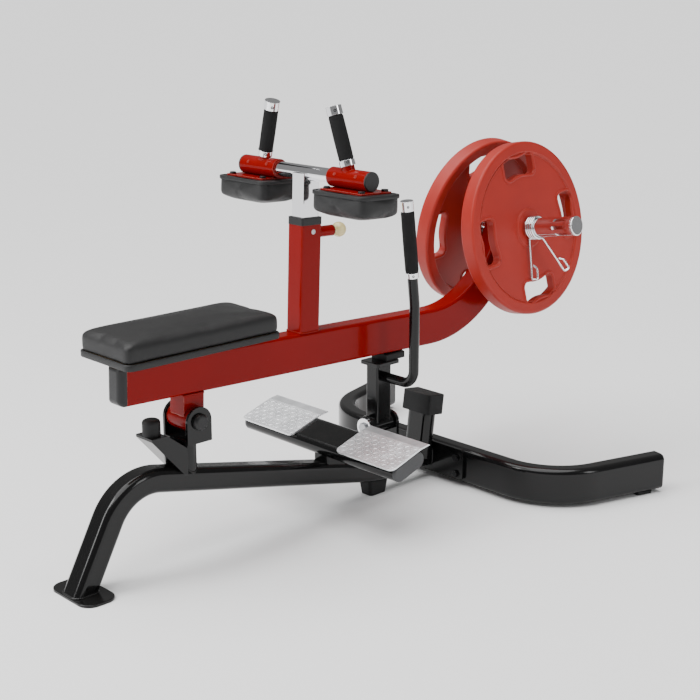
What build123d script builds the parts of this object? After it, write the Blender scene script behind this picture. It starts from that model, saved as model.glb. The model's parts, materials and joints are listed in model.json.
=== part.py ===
"""Plate-loaded seated calf raise machine, millimetres, +Z up.

The origin is on the floor under the middle of the machine. +X runs from the seat to the weights,
and the machine is symmetric about Y = 0 apart from the release lever, which is on the -Y side.
"""
from build123d import *
import os
from math import cos, radians, sin, tan

os.makedirs("parts", exist_ok=True)

# ---- Driving dimensions -------------------------------------------------------------------------

# Places along the machine and heights above the floor
front_leg_x = -768.0  # where the front leg's centre line meets the floor
pivot_x = -474.5  # the arm's pivot
pivot_z = 330.0
foot_plate_x = -760.0
front_bend_x = -649.5  # corner of the base tube's centre line
front_bend_z = 228.8
rear_bend_x = 105.5  # where the base tube levels out
rear_run_z = 60.0
cross_x = 322.5  # centre line of the rear base's cross part
leg_end_x = 639.0

# Base tube and the plates at its ends
tube_width = 60.0
tube_height = 55.0
tube_corner = 15.0
frame_wall = 3.0
front_bend_radius = 118.0
rear_bend_radius = 400.0
foot_plate_length = 84.0
foot_plate_width = 150.0
foot_plate_corner = 30.0
foot_plate_thickness = 6.0
middle_foot_x = 103.0
middle_foot_top = 76.0
middle_foot_bottom = 54.0
middle_foot_width = 46.0
flange_width = 270.0
flange_bottom = 19.0
flange_top = 100.0
flange_thickness = 8.0
flange_bolt_spacing = 224.0
flange_bolt_rise = 44.0

# Rear U-shaped base
base_tube_width = 50.0
base_tube_height = 92.0
base_corner = 14.0
base_lift = 8.0  # height of its underside, which is the rubber pads' thickness
base_half_width = 390.0  # from the middle plane to the corners of the centre line
base_bend_radius = 175.0
base_splay = 16.5  # each leg's angle outward from +X
base_cap_thickness = 4.0
base_pad_length = 46.0
base_pad_width = 34.0
base_pad_inset = 45.0

# Arm pivot
post_width = 60.0
post_depth = 43.0
post_offset = -10.0  # centre of the post from the pivot, along X
clevis_gap = 76.0
ear_thickness = 7.0
ear_radius = 33.0
clevis_drop = 49.0  # pivot centre down to the clevis's underside
axle_radius = 10.0
bush_wall = 6.0
bush_flange = 5.0
bush_flange_thickness = 1.5
sleeve_wall = 13.0
axle_cap_radius = 19.0
axle_cap_height = 12.0
running_clearance = 0.05
side_clearance = 0.5

# Front bumper
bumper_radius = 20.0
bumper_length = 36.0
bracket_angle = 46.0
bracket_width = 60.0
bracket_plate = 6.0

# Foot bar and foot plates
bar_x = -46.5
bar_z = 176.0
bar_width = 100.0
bar_thickness = 40.0
bar_tilt = 18.0
bar_half_length = 262.0
bar_cap_length = 8.0
tread_inner = 78.0
tread_outer = 270.0
tread_front = 54.0  # from the bar's centre to the front edge, along the slope
tread_back = 47.0  # from the bar's centre to the bend, along the slope
tread_tail = 30.0
tread_tail_tilt = 9.0
tread_thickness = 4.5
tread_corner = 15.0
saddle_length = 64.0
saddle_width = 50.0

# Rear stop
stop_x = 263.9
stop_lean = 7.5
stop_height = 118.0
stop_width = 80.0
stop_depth = 40.0
block_width = 96.0
block_depth = 56.0
block_height = 52.0
block_overlap = 26.0

# Catch and its release lever
catch_x = 119.5
catch_z = 180.0
catch_gap = 74.0
catch_ear_width = 56.0
catch_ear_thickness = 8.0
catch_axle_radius = 8.0
catch_sleeve_radius = 22.0
catch_post_depth = 50.0
catch_post_width = 40.0
catch_post_height = 158.0
catch_plate_length = 76.0
catch_plate_width = 64.0
catch_plate_thickness = 9.0
catch_pad_start = 1.0
catch_pad_length = 64.0
catch_pad_width = 52.0
catch_clearance = 0.3
washer_radius = 24.0
washer_thickness = 6.0
lever_radius = 12.5
lever_wall = 2.0
lever_x = 125.5
lever_root_z = 305.0
lever_reach = 115.0
lever_knee_z = 505.0
lever_top_z = 758.0
lever_lean = 7.0
lever_grip_radius = 16.5
lever_grip_length = 151.0
ferrule_length = 13.0
lever_cap_length = 21.0

# Arm
arm_slope = 2.1  # the beam's fall toward the weights
beam_rise = 59.0  # pivot centre to the beam's underside
beam_width = 52.0
beam_height = 90.0
beam_corner = 8.0
beam_front = 174.0  # from the pivot back to the beam's front end
beam_bend_start = 756.0
beam_bend_radius = 290.0
beam_bend_angle = 72.0
hub_distance = 25.0  # from the end of the bend to the horns' meeting point
beam_tail = 42.0  # beyond that point
beam_cap_thickness = 18.0
beam_cap_radius = 15.0

# Weight horns, plates and spring collars
horn_radius = 25.0
horn_wall = 4.0
horn_tilt = 9.3
horn_length = 250.5
horn_cap_length = 6.0
horn_flange_radius = 46.0
horn_flange_thickness = 8.0
plate_gap = 0.3
plate_start = 55.8  # from the meeting point to the plate's inner face
plate_radius = 225.0
plate_thickness = 43.0
plate_rim = 27.0
plate_web = 20.0
plate_dish = 4.0
plate_edge = 7.0
plate_hub_radius = 48.0
plate_bore_clearance = 0.1
grip_hole_radius = 163.0
grip_hole_length = 117.0
grip_hole_width = 57.0
grip_hole_waist = 43.0
grip_hole_turn = 9.0
coil_wire = 3.0
handle_wire = 2.8
coil_pitch = 6.3
coil_turns = 4
coil_clearance = 0.3
wire_offset = 12.0
wire_bend = 5.0
collar_handle_length = 106.0
collar_loop_width = 16.0
collar_loop_return = 28.0

# Seat
seat_front = 211.0  # from the pivot toward -X, level with the floor
seat_length = 410.0
seat_width = 188.0
seat_corner = 18.0
seat_rise = 162.0  # pivot centre to the seat board's underside
seat_board_thickness = 12.0
seat_foam_height = 42.0
seat_edge = 14.0
board_inset = 3.0
bracket_spacing = 240.0
bracket_across = 130.0
bracket_along = 44.0
bracket_thickness = 4.0
seat_bolt_spacing = 96.0

# Upright and the sliding post
upright_along = 337.5  # from the pivot to the upright's centre, along the beam
upright_depth = 60.0
upright_width = 50.0
upright_height = 252.0
upright_wall = 2.5
upright_corner = 5.0
collar_head = 17.0
collar_lip = 1.0
liner_length = 70.0
post_tube_depth = 50.0
post_tube_width = 40.0
post_tube_corner = 4.0
post_tube_wall = 2.5
slide_clearance = 0.1
post_insert = 185.0  # length of post below the upright's top
pin_drop = 22.0  # pin centre below the upright's top
boss_radius = 13.0
boss_length = 54.0
boss_end_wall = 6.0
boss_bore = 8.0
pin_radius = 5.0
pin_travel = 12.0
pin_clearance = 0.3  # from the pin's tip to the sliding post
shoulder_length = 4.0
spring_wire = 1.1
spring_turns = 6
knob_radius = 18.0
knob_gap = 5.0

# Thigh pads and handles
crossbar_up = 519.0  # from the pivot to the crossbar's centre, square to the beam
crossbar_radius = 17.0
crossbar_half_length = 210.0
sleeve_inner_end = 91.0
sleeve_outer_end = 212.0
pad_sleeve_radius = 22.0
pad_cap_length = 5.0
pad_plate_depth = 95.0
pad_plate_width = 134.0
pad_plate_thickness = 4.0
pad_centre = 165.0
pad_depth = 122.0
pad_width = 178.0
pad_height = 57.0
pad_corner = 20.0
pad_edge = 14.0
pad_bolt_inset = 12.0
handle_at = 150.0
handle_lean = 17.0
handle_back = 5.3
handle_stub = 29.0
handle_stub_radius = 14.0
handle_collar = 13.0
handle_grip_length = 101.0
handle_cap = 20.0
handle_cap_wall = 3.0
handle_tube_radius = 12.5
handle_grip_radius = 17.0
handle_ferrule_radius = 18.0

# Fasteners
bolt_radius = 5.0
bolt_head_radius = 9.0
bolt_head_height = 6.0

# ---- Places worked out from them ----------------------------------------------------------------

floor = Plane.XY
pivot = Vector(pivot_x, 0, pivot_z)
arm_along = Vector(cos(radians(arm_slope)), 0, -sin(radians(arm_slope)))
arm_up = Vector(sin(radians(arm_slope)), 0, cos(radians(arm_slope)))


def arm_point(along, across, up):
    # a place measured from the pivot along the beam, across it and square to its top
    return pivot + arm_along * along + Vector(0, across, 0) + arm_up * up


def arm_plane(along, across, up):
    return Plane(origin=arm_point(along, across, up), x_dir=arm_along, z_dir=arm_up)


arm_side = Plane(origin=pivot, x_dir=arm_along, z_dir=(0, -1, 0))
beam_middle = beam_rise + beam_height / 2
beam_top = beam_rise + beam_height
bend_end_along = beam_bend_start + beam_bend_radius * sin(radians(beam_bend_angle))
bend_end_up = beam_middle + beam_bend_radius * (1 - cos(radians(beam_bend_angle)))
tail_x = cos(radians(beam_bend_angle))
tail_y = sin(radians(beam_bend_angle))
hub_along = bend_end_along + hub_distance * tail_x
hub_up = bend_end_up + hub_distance * tail_y
beam_end_along = hub_along + beam_tail * tail_x
beam_end_up = hub_up + beam_tail * tail_y


def horn_plane(distance, turn=0.0):
    # square to the -Y horn, at a distance from the horns' meeting point
    outward = Vector(0, -cos(radians(horn_tilt)), 0) + arm_up * sin(radians(horn_tilt))
    right = Plane(origin=(0, 0, 0), x_dir=arm_along, z_dir=outward)
    start = arm_point(hub_along, 0, hub_up) + outward * distance
    x_dir = right.x_dir * cos(radians(turn)) + right.y_dir * sin(radians(turn))
    return Plane(origin=start, x_dir=x_dir, z_dir=outward)


spine_fall = (front_bend_z - rear_run_z) / (rear_bend_x - front_bend_x)


def spine_height(x):
    # height of the base tube's centre line along its sloping run
    return front_bend_z - spine_fall * (x - front_bend_x)


def save(builder, name):
    builder.part.label = name
    export_step(builder.part, f"parts/{name}.step")


# ---- Base tube: one bent tube from the front foot to the rear flange ------------------------------

cross_front_x = cross_x - base_tube_width / 2
flange_front_x = cross_front_x - flange_thickness
leg_slope = (front_bend_z - foot_plate_thickness) / (front_bend_x - front_leg_x)
spine_start_x = front_leg_x - tube_width / leg_slope
spine_start_z = foot_plate_thickness - tube_width
with BuildLine(Plane.XZ) as spine_path:
    FilletPolyline(
        (spine_start_x, spine_start_z),
        (front_bend_x, front_bend_z),
        (rear_bend_x, rear_run_z),
        (flange_front_x, rear_run_z),
        radius=[front_bend_radius, rear_bend_radius],
    )
spine_section = Plane(origin=spine_path.line @ 0, x_dir=(0, 1, 0), z_dir=spine_path.line % 0)

with BuildPart() as spine_outline:
    with BuildSketch(spine_section):
        RectangleRounded(tube_width, tube_height, tube_corner)
    sweep(path=spine_path.line)
    split(bisect_by=Plane.XY.offset(foot_plate_thickness), keep=Keep.TOP)

with BuildPart() as base_tube:
    add(spine_outline.part)
    with BuildSketch(spine_section):
        RectangleRounded(tube_width - 2 * frame_wall, tube_height - 2 * frame_wall, tube_corner - frame_wall)
    sweep(path=spine_path.line, mode=Mode.SUBTRACT)
save(base_tube, "base_tube")

with BuildPart() as front_foot_plate:
    with BuildSketch(floor):
        with Locations((foot_plate_x, 0)):
            RectangleRounded(foot_plate_length, foot_plate_width, foot_plate_corner)
    extrude(amount=foot_plate_thickness)
    fillet(front_foot_plate.edges().group_by(Axis.Z)[-1], radius=1.5)
save(front_foot_plate, "front_foot_plate")

with BuildPart() as middle_foot:
    with BuildSketch(floor):
        with Locations((middle_foot_x, 0)):
            RectangleRounded(middle_foot_bottom, middle_foot_width - 8, 8)
    with BuildSketch(Plane.XY.offset(rear_run_z)):
        with Locations((middle_foot_x, 0)):
            RectangleRounded(middle_foot_top, middle_foot_width, 8)
    loft()
    add(spine_outline.part, mode=Mode.SUBTRACT)
save(middle_foot, "middle_foot")

# ---- Rear base: flange, U-shaped tube, end caps and pads ------------------------------------------

base_middle_z = base_lift + base_tube_height / 2
leg_run = (leg_end_x - cross_x) / cos(radians(base_splay))
leg_end_y = base_half_width + leg_run * sin(radians(base_splay))
leg_direction = Vector(cos(radians(base_splay)), -sin(radians(base_splay)), 0)
flange_bolt_places = [
    (side * flange_bolt_spacing / 2, base_middle_z + rise * flange_bolt_rise / 2)
    for side in (-1, 1)
    for rise in (-1, 1)
]
flange_face = Plane(origin=(cross_front_x, 0, 0), x_dir=(0, -1, 0), z_dir=(-1, 0, 0))

with BuildPart() as rear_base_tube:
    with BuildLine(Plane.XY.offset(base_middle_z)) as base_path:
        FilletPolyline(
            (leg_end_x, -leg_end_y),
            (cross_x, -base_half_width),
            (cross_x, base_half_width),
            (leg_end_x, leg_end_y),
            radius=base_bend_radius,
        )
    with BuildSketch(Plane(origin=base_path.line @ 0, x_dir=(0, 0, 1), z_dir=base_path.line % 0)):
        RectangleRounded(base_tube_height, base_tube_width, base_corner)
        RectangleRounded(
            base_tube_height - 2 * frame_wall,
            base_tube_width - 2 * frame_wall,
            base_corner - frame_wall,
            mode=Mode.SUBTRACT,
        )
    sweep(path=base_path.line)
    with BuildSketch(flange_face):
        with Locations(flange_bolt_places):
            Circle(bolt_radius + running_clearance)
    extrude(amount=-2 * frame_wall, mode=Mode.SUBTRACT)
save(rear_base_tube, "rear_base_tube")

with BuildPart() as rear_flange:
    with BuildSketch(flange_face):
        with Locations((0, (flange_top + flange_bottom) / 2)):
            RectangleRounded(flange_width, flange_top - flange_bottom, 10)
        with Locations(flange_bolt_places):
            Circle(bolt_radius + running_clearance, mode=Mode.SUBTRACT)
    extrude(amount=flange_thickness)
save(rear_flange, "rear_flange")

with BuildPart() as flange_bolts:
    with BuildSketch(flange_face.offset(flange_thickness)):
        with Locations(flange_bolt_places):
            RegularPolygon(bolt_head_radius, 6)
    extrude(amount=bolt_head_height)
    with BuildSketch(flange_face.offset(flange_thickness)):
        with Locations(flange_bolt_places):
            Circle(bolt_radius)
    extrude(amount=-(flange_thickness + frame_wall + bolt_radius))
save(flange_bolts, "flange_bolts")

with BuildPart() as rear_end_caps:
    with BuildSketch(Plane(origin=(leg_end_x, -leg_end_y, base_middle_z), x_dir=(0, 0, 1), z_dir=leg_direction)):
        RectangleRounded(base_tube_height, base_tube_width, base_corner)
    extrude(amount=base_cap_thickness)
    fillet(rear_end_caps.faces().sort_by(Axis((0, 0, 0), leg_direction))[-1].edges(), radius=1.5)
    mirror(about=Plane.XZ)
save(rear_end_caps, "rear_end_caps")

pad_x = leg_end_x - base_pad_inset * leg_direction.X
pad_y = leg_end_y - base_pad_inset * abs(leg_direction.Y)
with BuildPart() as rear_foot_pads:
    with BuildSketch(Plane(origin=(pad_x, -pad_y, 0), x_dir=leg_direction, z_dir=(0, 0, 1))):
        RectangleRounded(base_pad_length, base_pad_width, 6)
    extrude(amount=base_lift)
    mirror(about=Plane.XZ)
save(rear_foot_pads, "rear_foot_pads")

# ---- Pivot post, clevis, axle and caps ------------------------------------------------------------

clevis_bottom_z = pivot_z - clevis_drop
ear_outside = clevis_gap / 2 + ear_thickness
with BuildPart() as pivot_post:
    with BuildSketch(Plane.XY.offset(clevis_bottom_z)):
        with Locations((pivot_x + post_offset, 0)):
            SlotOverall(post_width, post_depth, rotation=90)
            SlotOverall(post_width - 2 * frame_wall, post_depth - 2 * frame_wall, rotation=90, mode=Mode.SUBTRACT)
    extrude(amount=spine_height(pivot_x + post_offset) - clevis_bottom_z)
    add(spine_outline.part, mode=Mode.SUBTRACT)
save(pivot_post, "pivot_post")

with BuildPart() as pivot_clevis:
    with BuildSketch(Plane.XZ.offset(-ear_outside)):
        with Locations((pivot_x, pivot_z)):
            Circle(ear_radius)
        with Locations((pivot_x, pivot_z - clevis_drop / 2)):
            Rectangle(2 * ear_radius, clevis_drop)
        with Locations((pivot_x + post_offset, clevis_bottom_z + ear_thickness / 2)):
            Rectangle(post_depth + 2, ear_thickness)
    extrude(amount=2 * ear_outside)
    with BuildSketch(Plane.XZ.offset(-clevis_gap / 2)):
        with Locations((pivot_x, clevis_bottom_z + ear_thickness + pivot_z / 2)):
            Rectangle(4 * ear_radius, pivot_z)
    extrude(amount=clevis_gap, mode=Mode.SUBTRACT)
    with BuildSketch(Plane.XZ.offset(-ear_outside)):
        with Locations((pivot_x, pivot_z)):
            Circle(axle_radius)
    extrude(amount=2 * ear_outside, mode=Mode.SUBTRACT)
save(pivot_clevis, "pivot_clevis")

axle_end = ear_outside + 4
with BuildPart() as pivot_axle:
    with BuildSketch(Plane.XZ.offset(-axle_end)):
        with Locations((pivot_x, pivot_z)):
            Circle(axle_radius)
    extrude(amount=2 * axle_end)
save(pivot_axle, "pivot_axle")

with BuildPart() as pivot_caps:
    with BuildSketch(Plane.XZ.offset(ear_outside)):
        with Locations((pivot_x, pivot_z)):
            Circle(axle_cap_radius)
    extrude(amount=axle_cap_height)
    fillet(pivot_caps.faces().sort_by(Axis.Y)[0].edges(), radius=8)
    add(pivot_axle.part, mode=Mode.SUBTRACT)
    mirror(about=Plane.XZ)
save(pivot_caps, "pivot_caps")

# ---- Front bumper on its slanting bracket ----------------------------------------------------------

post_front_x = pivot_x + post_offset - post_depth / 2
bumper_x = pivot_x - 96
bumper_z = pivot_z - 1
bracket_top_x = bumper_x - bumper_radius
bracket_top_z = bumper_z - bumper_length / 2
bracket_run = post_front_x + 8 - bracket_top_x
bracket_foot_z = bracket_top_z - bracket_run * tan(radians(bracket_angle))
with BuildPart() as bumper_bracket:
    with BuildSketch(Plane.XZ.offset(-bracket_width / 2)):
        with BuildLine():
            Polyline(
                (bracket_top_x, bracket_top_z),
                (bumper_x + bumper_radius, bracket_top_z),
                (post_front_x + 8, bracket_top_z - 2 * bumper_radius),
                (post_front_x + 8, spine_height(post_front_x)),
                (post_front_x, spine_height(post_front_x)),
                (post_front_x, bracket_foot_z - bracket_plate),
                (bracket_top_x, bracket_top_z - bracket_plate),
                close=True,
            )
        make_face()
    extrude(amount=bracket_width)
    with BuildSketch(Plane.XY.offset(clevis_bottom_z)):
        with Locations((pivot_x + post_offset, 0)):
            SlotOverall(post_width, post_depth, rotation=90)
    extrude(amount=clevis_bottom_z, both=True, mode=Mode.SUBTRACT)
    add(spine_outline.part, mode=Mode.SUBTRACT)
    add(pivot_clevis.part, mode=Mode.SUBTRACT)
save(bumper_bracket, "bumper_bracket")

with BuildPart() as front_bumper:
    with BuildSketch(Plane.XY.offset(bracket_top_z)):
        with Locations((bumper_x, 0)):
            Circle(bumper_radius)
    extrude(amount=bumper_length)
    fillet(front_bumper.edges().group_by(Axis.Z)[-1], radius=8)
save(front_bumper, "front_bumper")

# ---- Foot bar on its saddle, and the two treads ----------------------------------------------------

bar_along = Vector(cos(radians(bar_tilt)), 0, sin(radians(bar_tilt)))
bar_side = Plane(origin=(bar_x, 0, bar_z), x_dir=bar_along, z_dir=(0, -1, 0))
with BuildPart() as foot_bar_outline:
    with BuildSketch(bar_side.offset(-bar_half_length)):
        SlotOverall(bar_width, bar_thickness)
    extrude(amount=2 * bar_half_length)

with BuildPart() as foot_bar:
    add(foot_bar_outline.part)
    with BuildSketch(bar_side.offset(-bar_half_length)):
        SlotOverall(bar_width - 2 * frame_wall, bar_thickness - 2 * frame_wall)
    extrude(amount=2 * bar_half_length, mode=Mode.SUBTRACT)
save(foot_bar, "foot_bar")

with BuildPart() as foot_bar_end_caps:
    with BuildSketch(bar_side.offset(bar_half_length)):
        SlotOverall(bar_width, bar_thickness)
    extrude(amount=bar_cap_length)
    fillet(foot_bar_end_caps.faces().sort_by(Axis.Y)[0].edges(), radius=3)
    mirror(about=Plane.XZ)
save(foot_bar_end_caps, "foot_bar_end_caps")

with BuildPart() as foot_bar_saddle:
    with BuildSketch(Plane.XY.offset(bar_z)):
        with Locations((bar_x, 0)):
            RectangleRounded(saddle_length, saddle_width, 6)
    extrude(amount=spine_height(bar_x) - bar_z)
    add(foot_bar_outline.part, mode=Mode.SUBTRACT)
    add(spine_outline.part, mode=Mode.SUBTRACT)
save(foot_bar_saddle, "foot_bar_saddle")

tail_turn = radians(tread_tail_tilt - bar_tilt)
tread_under = bar_thickness / 2
with BuildPart() as foot_plates:
    with BuildSketch(bar_side.offset(tread_inner)):
        with BuildLine() as tread_line:
            Polyline(
                (-tread_front, tread_under),
                (tread_back, tread_under),
                (tread_back + tread_tail * cos(tail_turn), tread_under + tread_tail * sin(tail_turn)),
                (
                    tread_back + (tread_tail - tread_thickness) * cos(tail_turn),
                    tread_under + tread_thickness + tread_tail * sin(tail_turn),
                ),
                (tread_back, tread_under + tread_thickness),
                (-tread_front, tread_under + tread_thickness),
                close=True,
            )
        make_face()
    extrude(amount=tread_outer - tread_inner)
    upright_edges = foot_plates.edges().filter_by(lambda edge: abs(edge.length) < 2 * tread_thickness)
    fillet(upright_edges.filter_by(lambda edge: abs((edge % 0.5).Y) < 0.1).group_by(Axis.X)[0], radius=tread_corner)
    mirror(about=Plane.XZ)
save(foot_plates, "foot_plates")

# ---- Rear stop --------------------------------------------------------------------------------------

stop_up = Vector(sin(radians(stop_lean)), 0, cos(radians(stop_lean)))
stop_across = Vector(cos(radians(stop_lean)), 0, -sin(radians(stop_lean)))
stop_top = stop_height + tube_height / 2 / cos(radians(stop_lean))
stop_base = Plane(origin=(stop_x, 0, rear_run_z), x_dir=stop_across, z_dir=stop_up)
with BuildPart() as stop_post:
    with BuildSketch(stop_base.offset(stop_top)):
        SlotOverall(stop_width, stop_depth, rotation=90)
        SlotOverall(stop_width - 2 * frame_wall, stop_depth - 2 * frame_wall, rotation=90, mode=Mode.SUBTRACT)
    extrude(amount=-stop_top)
    add(spine_outline.part, mode=Mode.SUBTRACT)
    split(bisect_by=Plane.XY.offset(rear_run_z), keep=Keep.TOP)
    with BuildSketch(Plane.XY.offset(flange_bottom)):
        with Locations((flange_front_x + flange_thickness, 0)):
            Rectangle(2 * flange_thickness, flange_width)
    extrude(amount=flange_top - flange_bottom, mode=Mode.SUBTRACT)
save(stop_post, "stop_post")

with BuildPart() as stop_block:
    with BuildSketch(stop_base.offset(stop_top - block_overlap)):
        RectangleRounded(block_depth, block_width, 6)
    extrude(amount=block_height)
    fillet(stop_block.edges().group_by(Axis.Z)[-1], radius=3)
    with BuildSketch(stop_base.offset(stop_top - block_overlap)):
        SlotOverall(stop_width, stop_depth, rotation=90)
    extrude(amount=block_overlap, mode=Mode.SUBTRACT)
save(stop_block, "stop_block")

# ---- Catch: it swings sideways about an axle along X ------------------------------------------------

catch_side = Plane(origin=(catch_x, 0, catch_z), x_dir=(0, -1, 0), z_dir=(-1, 0, 0))
catch_outside = catch_gap / 2 + catch_ear_thickness
catch_rise = catch_z - rear_run_z
with BuildPart() as catch_bracket:
    for direction in (-1, 1):
        near = direction * catch_gap / 2
        with BuildSketch(catch_side.offset(near)):
            Circle(catch_ear_width / 2)
            with Locations((0, -catch_rise / 2)):
                Rectangle(catch_ear_width, catch_rise)
            Circle(catch_axle_radius, mode=Mode.SUBTRACT)
        extrude(amount=direction * catch_ear_thickness)
    add(spine_outline.part, mode=Mode.SUBTRACT)
    split(bisect_by=Plane.XY.offset(rear_run_z + tube_height / 3), keep=Keep.TOP)
save(catch_bracket, "catch_bracket")

with BuildPart() as catch_washers:
    for direction in (-1, 1):
        with BuildSketch(catch_side.offset(direction * catch_outside)):
            Circle(washer_radius)
            Circle(catch_axle_radius, mode=Mode.SUBTRACT)
        extrude(amount=direction * washer_thickness)
save(catch_washers, "catch_washers")

washer_outside = catch_outside + washer_thickness
with BuildPart() as catch_axle:
    with BuildSketch(catch_side.offset(-washer_outside)):
        Circle(catch_axle_radius)
    extrude(amount=2 * washer_outside)
    for direction in (-1, 1):
        with BuildSketch(catch_side.offset(direction * washer_outside)):
            RegularPolygon(catch_axle_radius * 1.7, 6)
        extrude(amount=direction * bolt_head_height)
save(catch_axle, "catch_axle")

catch_sleeve_half = catch_gap / 2 - side_clearance
with BuildPart() as catch_post:
    with BuildSketch(Plane.XY.offset(catch_z)):
        with Locations((catch_x, 0)):
            RectangleRounded(catch_post_depth, catch_post_width, 5)
    extrude(amount=catch_post_height)
    with BuildSketch(catch_side.offset(-catch_sleeve_half)):
        Circle(catch_sleeve_radius)
    extrude(amount=2 * catch_sleeve_half)
    with BuildSketch(Plane.XY.offset(catch_z + catch_sleeve_radius)):
        with Locations((catch_x, 0)):
            Rectangle(catch_post_depth - 2 * frame_wall, catch_post_width - 2 * frame_wall)
    extrude(amount=catch_post_height, mode=Mode.SUBTRACT)
    with BuildSketch(catch_side.offset(-catch_sleeve_half)):
        Circle(catch_axle_radius + running_clearance)
    extrude(amount=2 * catch_sleeve_half, mode=Mode.SUBTRACT)
save(catch_post, "catch_post")

catch_plate_z = catch_z + catch_post_height
catch_plate_x = catch_x + (catch_plate_length - catch_post_depth) / 2 - 9
with BuildPart() as catch_saddle:
    with BuildSketch(Plane.XY.offset(catch_plate_z)):
        with Locations((catch_plate_x, 0)):
            RectangleRounded(catch_plate_length, catch_plate_width, 5)
    extrude(amount=catch_plate_thickness)
    fillet(catch_saddle.edges().group_by(Axis.Z)[-1], radius=1.5)
save(catch_saddle, "catch_saddle")

pad_bottom_z = catch_plate_z + catch_plate_thickness
pad_end_x = catch_x + catch_pad_start + catch_pad_length
beam_under_z = pivot_z + (beam_rise - (pad_end_x - pivot_x) * sin(radians(arm_slope))) / cos(radians(arm_slope))
catch_reach = beam_under_z - catch_z - catch_clearance
with BuildPart() as catch_pad:
    with BuildSketch(catch_side.offset(-(catch_pad_start + catch_pad_length))):
        Circle(catch_reach)
        with Locations((0, pad_bottom_z - catch_z + catch_reach / 2)):
            Rectangle(catch_pad_width, catch_reach, mode=Mode.INTERSECT)
    extrude(amount=catch_pad_length)
    fillet(catch_pad.edges().filter_by(Axis.X).group_by(Axis.Z)[-1], radius=3)
save(catch_pad, "catch_pad")

lever_tip = (lever_top_z - lever_knee_z) * tan(radians(lever_lean))
with BuildLine() as lever_path:
    FilletPolyline(
        (lever_x, -catch_post_width / 2, lever_root_z),
        (lever_x, -lever_reach, lever_root_z),
        (lever_x, -lever_reach, lever_knee_z),
        (lever_x - lever_tip, -lever_reach, lever_top_z),
        radius=[36, 160],
    )
with BuildPart() as release_lever:
    with BuildSketch(Plane(origin=lever_path.line @ 0, z_dir=lever_path.line % 0)):
        Circle(lever_radius)
        Circle(lever_radius - lever_wall, mode=Mode.SUBTRACT)
    sweep(path=lever_path.line)
save(release_lever, "release_lever")

lever_end = Plane(origin=lever_path.line @ 1, x_dir=(0, 1, 0), z_dir=lever_path.line % 1)
with BuildPart() as lever_grip:
    with BuildSketch(lever_end.offset(-lever_cap_length)):
        Circle(lever_grip_radius)
        Circle(lever_radius, mode=Mode.SUBTRACT)
    extrude(amount=-lever_grip_length)
save(lever_grip, "lever_grip")

with BuildPart() as lever_ferrules:
    with BuildSketch(lever_end.offset(-lever_cap_length)):
        Circle(lever_grip_radius - 1)
        Circle(lever_radius, mode=Mode.SUBTRACT)
    extrude(amount=lever_cap_length)
    with BuildSketch(lever_end):
        Circle(lever_grip_radius - 1)
    extrude(amount=3)
    with BuildSketch(lever_end.offset(-lever_cap_length - lever_grip_length)):
        Circle(lever_grip_radius - 1)
        Circle(lever_radius, mode=Mode.SUBTRACT)
    extrude(amount=-ferrule_length)
save(lever_ferrules, "lever_ferrules")

# ---- Arm: the bent beam, its pivot sleeve and end caps -----------------------------------------------

with BuildLine(arm_side) as beam_path:
    beam_run = Line((-beam_front, beam_middle), (beam_bend_start, beam_middle))
    beam_arc = JernArc(start=beam_run @ 1, tangent=beam_run % 1, radius=beam_bend_radius, arc_size=beam_bend_angle)
    Line(beam_arc @ 1, (beam_end_along, beam_end_up))
with BuildPart() as arm_beam:
    with BuildSketch(Plane(origin=beam_path.line @ 0, x_dir=(0, 1, 0), z_dir=beam_path.line % 0)):
        RectangleRounded(beam_width, beam_height, beam_corner)
        RectangleRounded(
            beam_width - 2 * frame_wall,
            beam_height - 2 * frame_wall,
            beam_corner - frame_wall,
            mode=Mode.SUBTRACT,
        )
    sweep(path=beam_path.line)
save(arm_beam, "arm_beam")

with BuildPart() as beam_end_caps:
    for place, direction in ((beam_path.line @ 0, beam_path.line % 0 * -1), (beam_path.line @ 1, beam_path.line % 1)):
        with BuildSketch(Plane(origin=place, x_dir=(0, 1, 0), z_dir=direction)):
            RectangleRounded(beam_width, beam_height, beam_corner)
        extrude(amount=beam_cap_thickness)
        cap_face = beam_end_caps.faces().sort_by(Axis(place, direction))[-1]
        fillet(cap_face.edges(), radius=beam_cap_radius)
save(beam_end_caps, "beam_end_caps")

bush_outer = axle_radius + running_clearance + bush_wall
sleeve_outer = bush_outer + sleeve_wall
bush_end = clevis_gap / 2 - side_clearance
sleeve_half = bush_end - bush_flange_thickness
with BuildPart() as pivot_sleeve:
    with BuildSketch(arm_side.offset(-sleeve_half)):
        Circle(sleeve_outer)
        Circle(bush_outer, mode=Mode.SUBTRACT)
    extrude(amount=2 * sleeve_half)
save(pivot_sleeve, "pivot_sleeve")

with BuildPart() as pivot_gusset:
    with BuildSketch(arm_side.offset(-beam_width / 2 + 1)):
        with Locations((0, beam_rise / 2)):
            Rectangle(2 * sleeve_outer - 4, beam_rise)
        Circle(sleeve_outer, mode=Mode.SUBTRACT)
    extrude(amount=beam_width - 2)
save(pivot_gusset, "pivot_gusset")

with BuildPart() as pivot_bushes:
    with BuildSketch(arm_side.offset(sleeve_half)):
        Circle(bush_outer)
        Circle(axle_radius + running_clearance, mode=Mode.SUBTRACT)
    extrude(amount=-sleeve_half / 2)
    with BuildSketch(arm_side.offset(sleeve_half)):
        Circle(bush_outer + bush_flange)
        Circle(axle_radius + running_clearance, mode=Mode.SUBTRACT)
    extrude(amount=bush_flange_thickness)
    mirror(about=Plane.XZ)
save(pivot_bushes, "pivot_bushes")

# ---- Seat on its two brackets -------------------------------------------------------------------------

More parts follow.
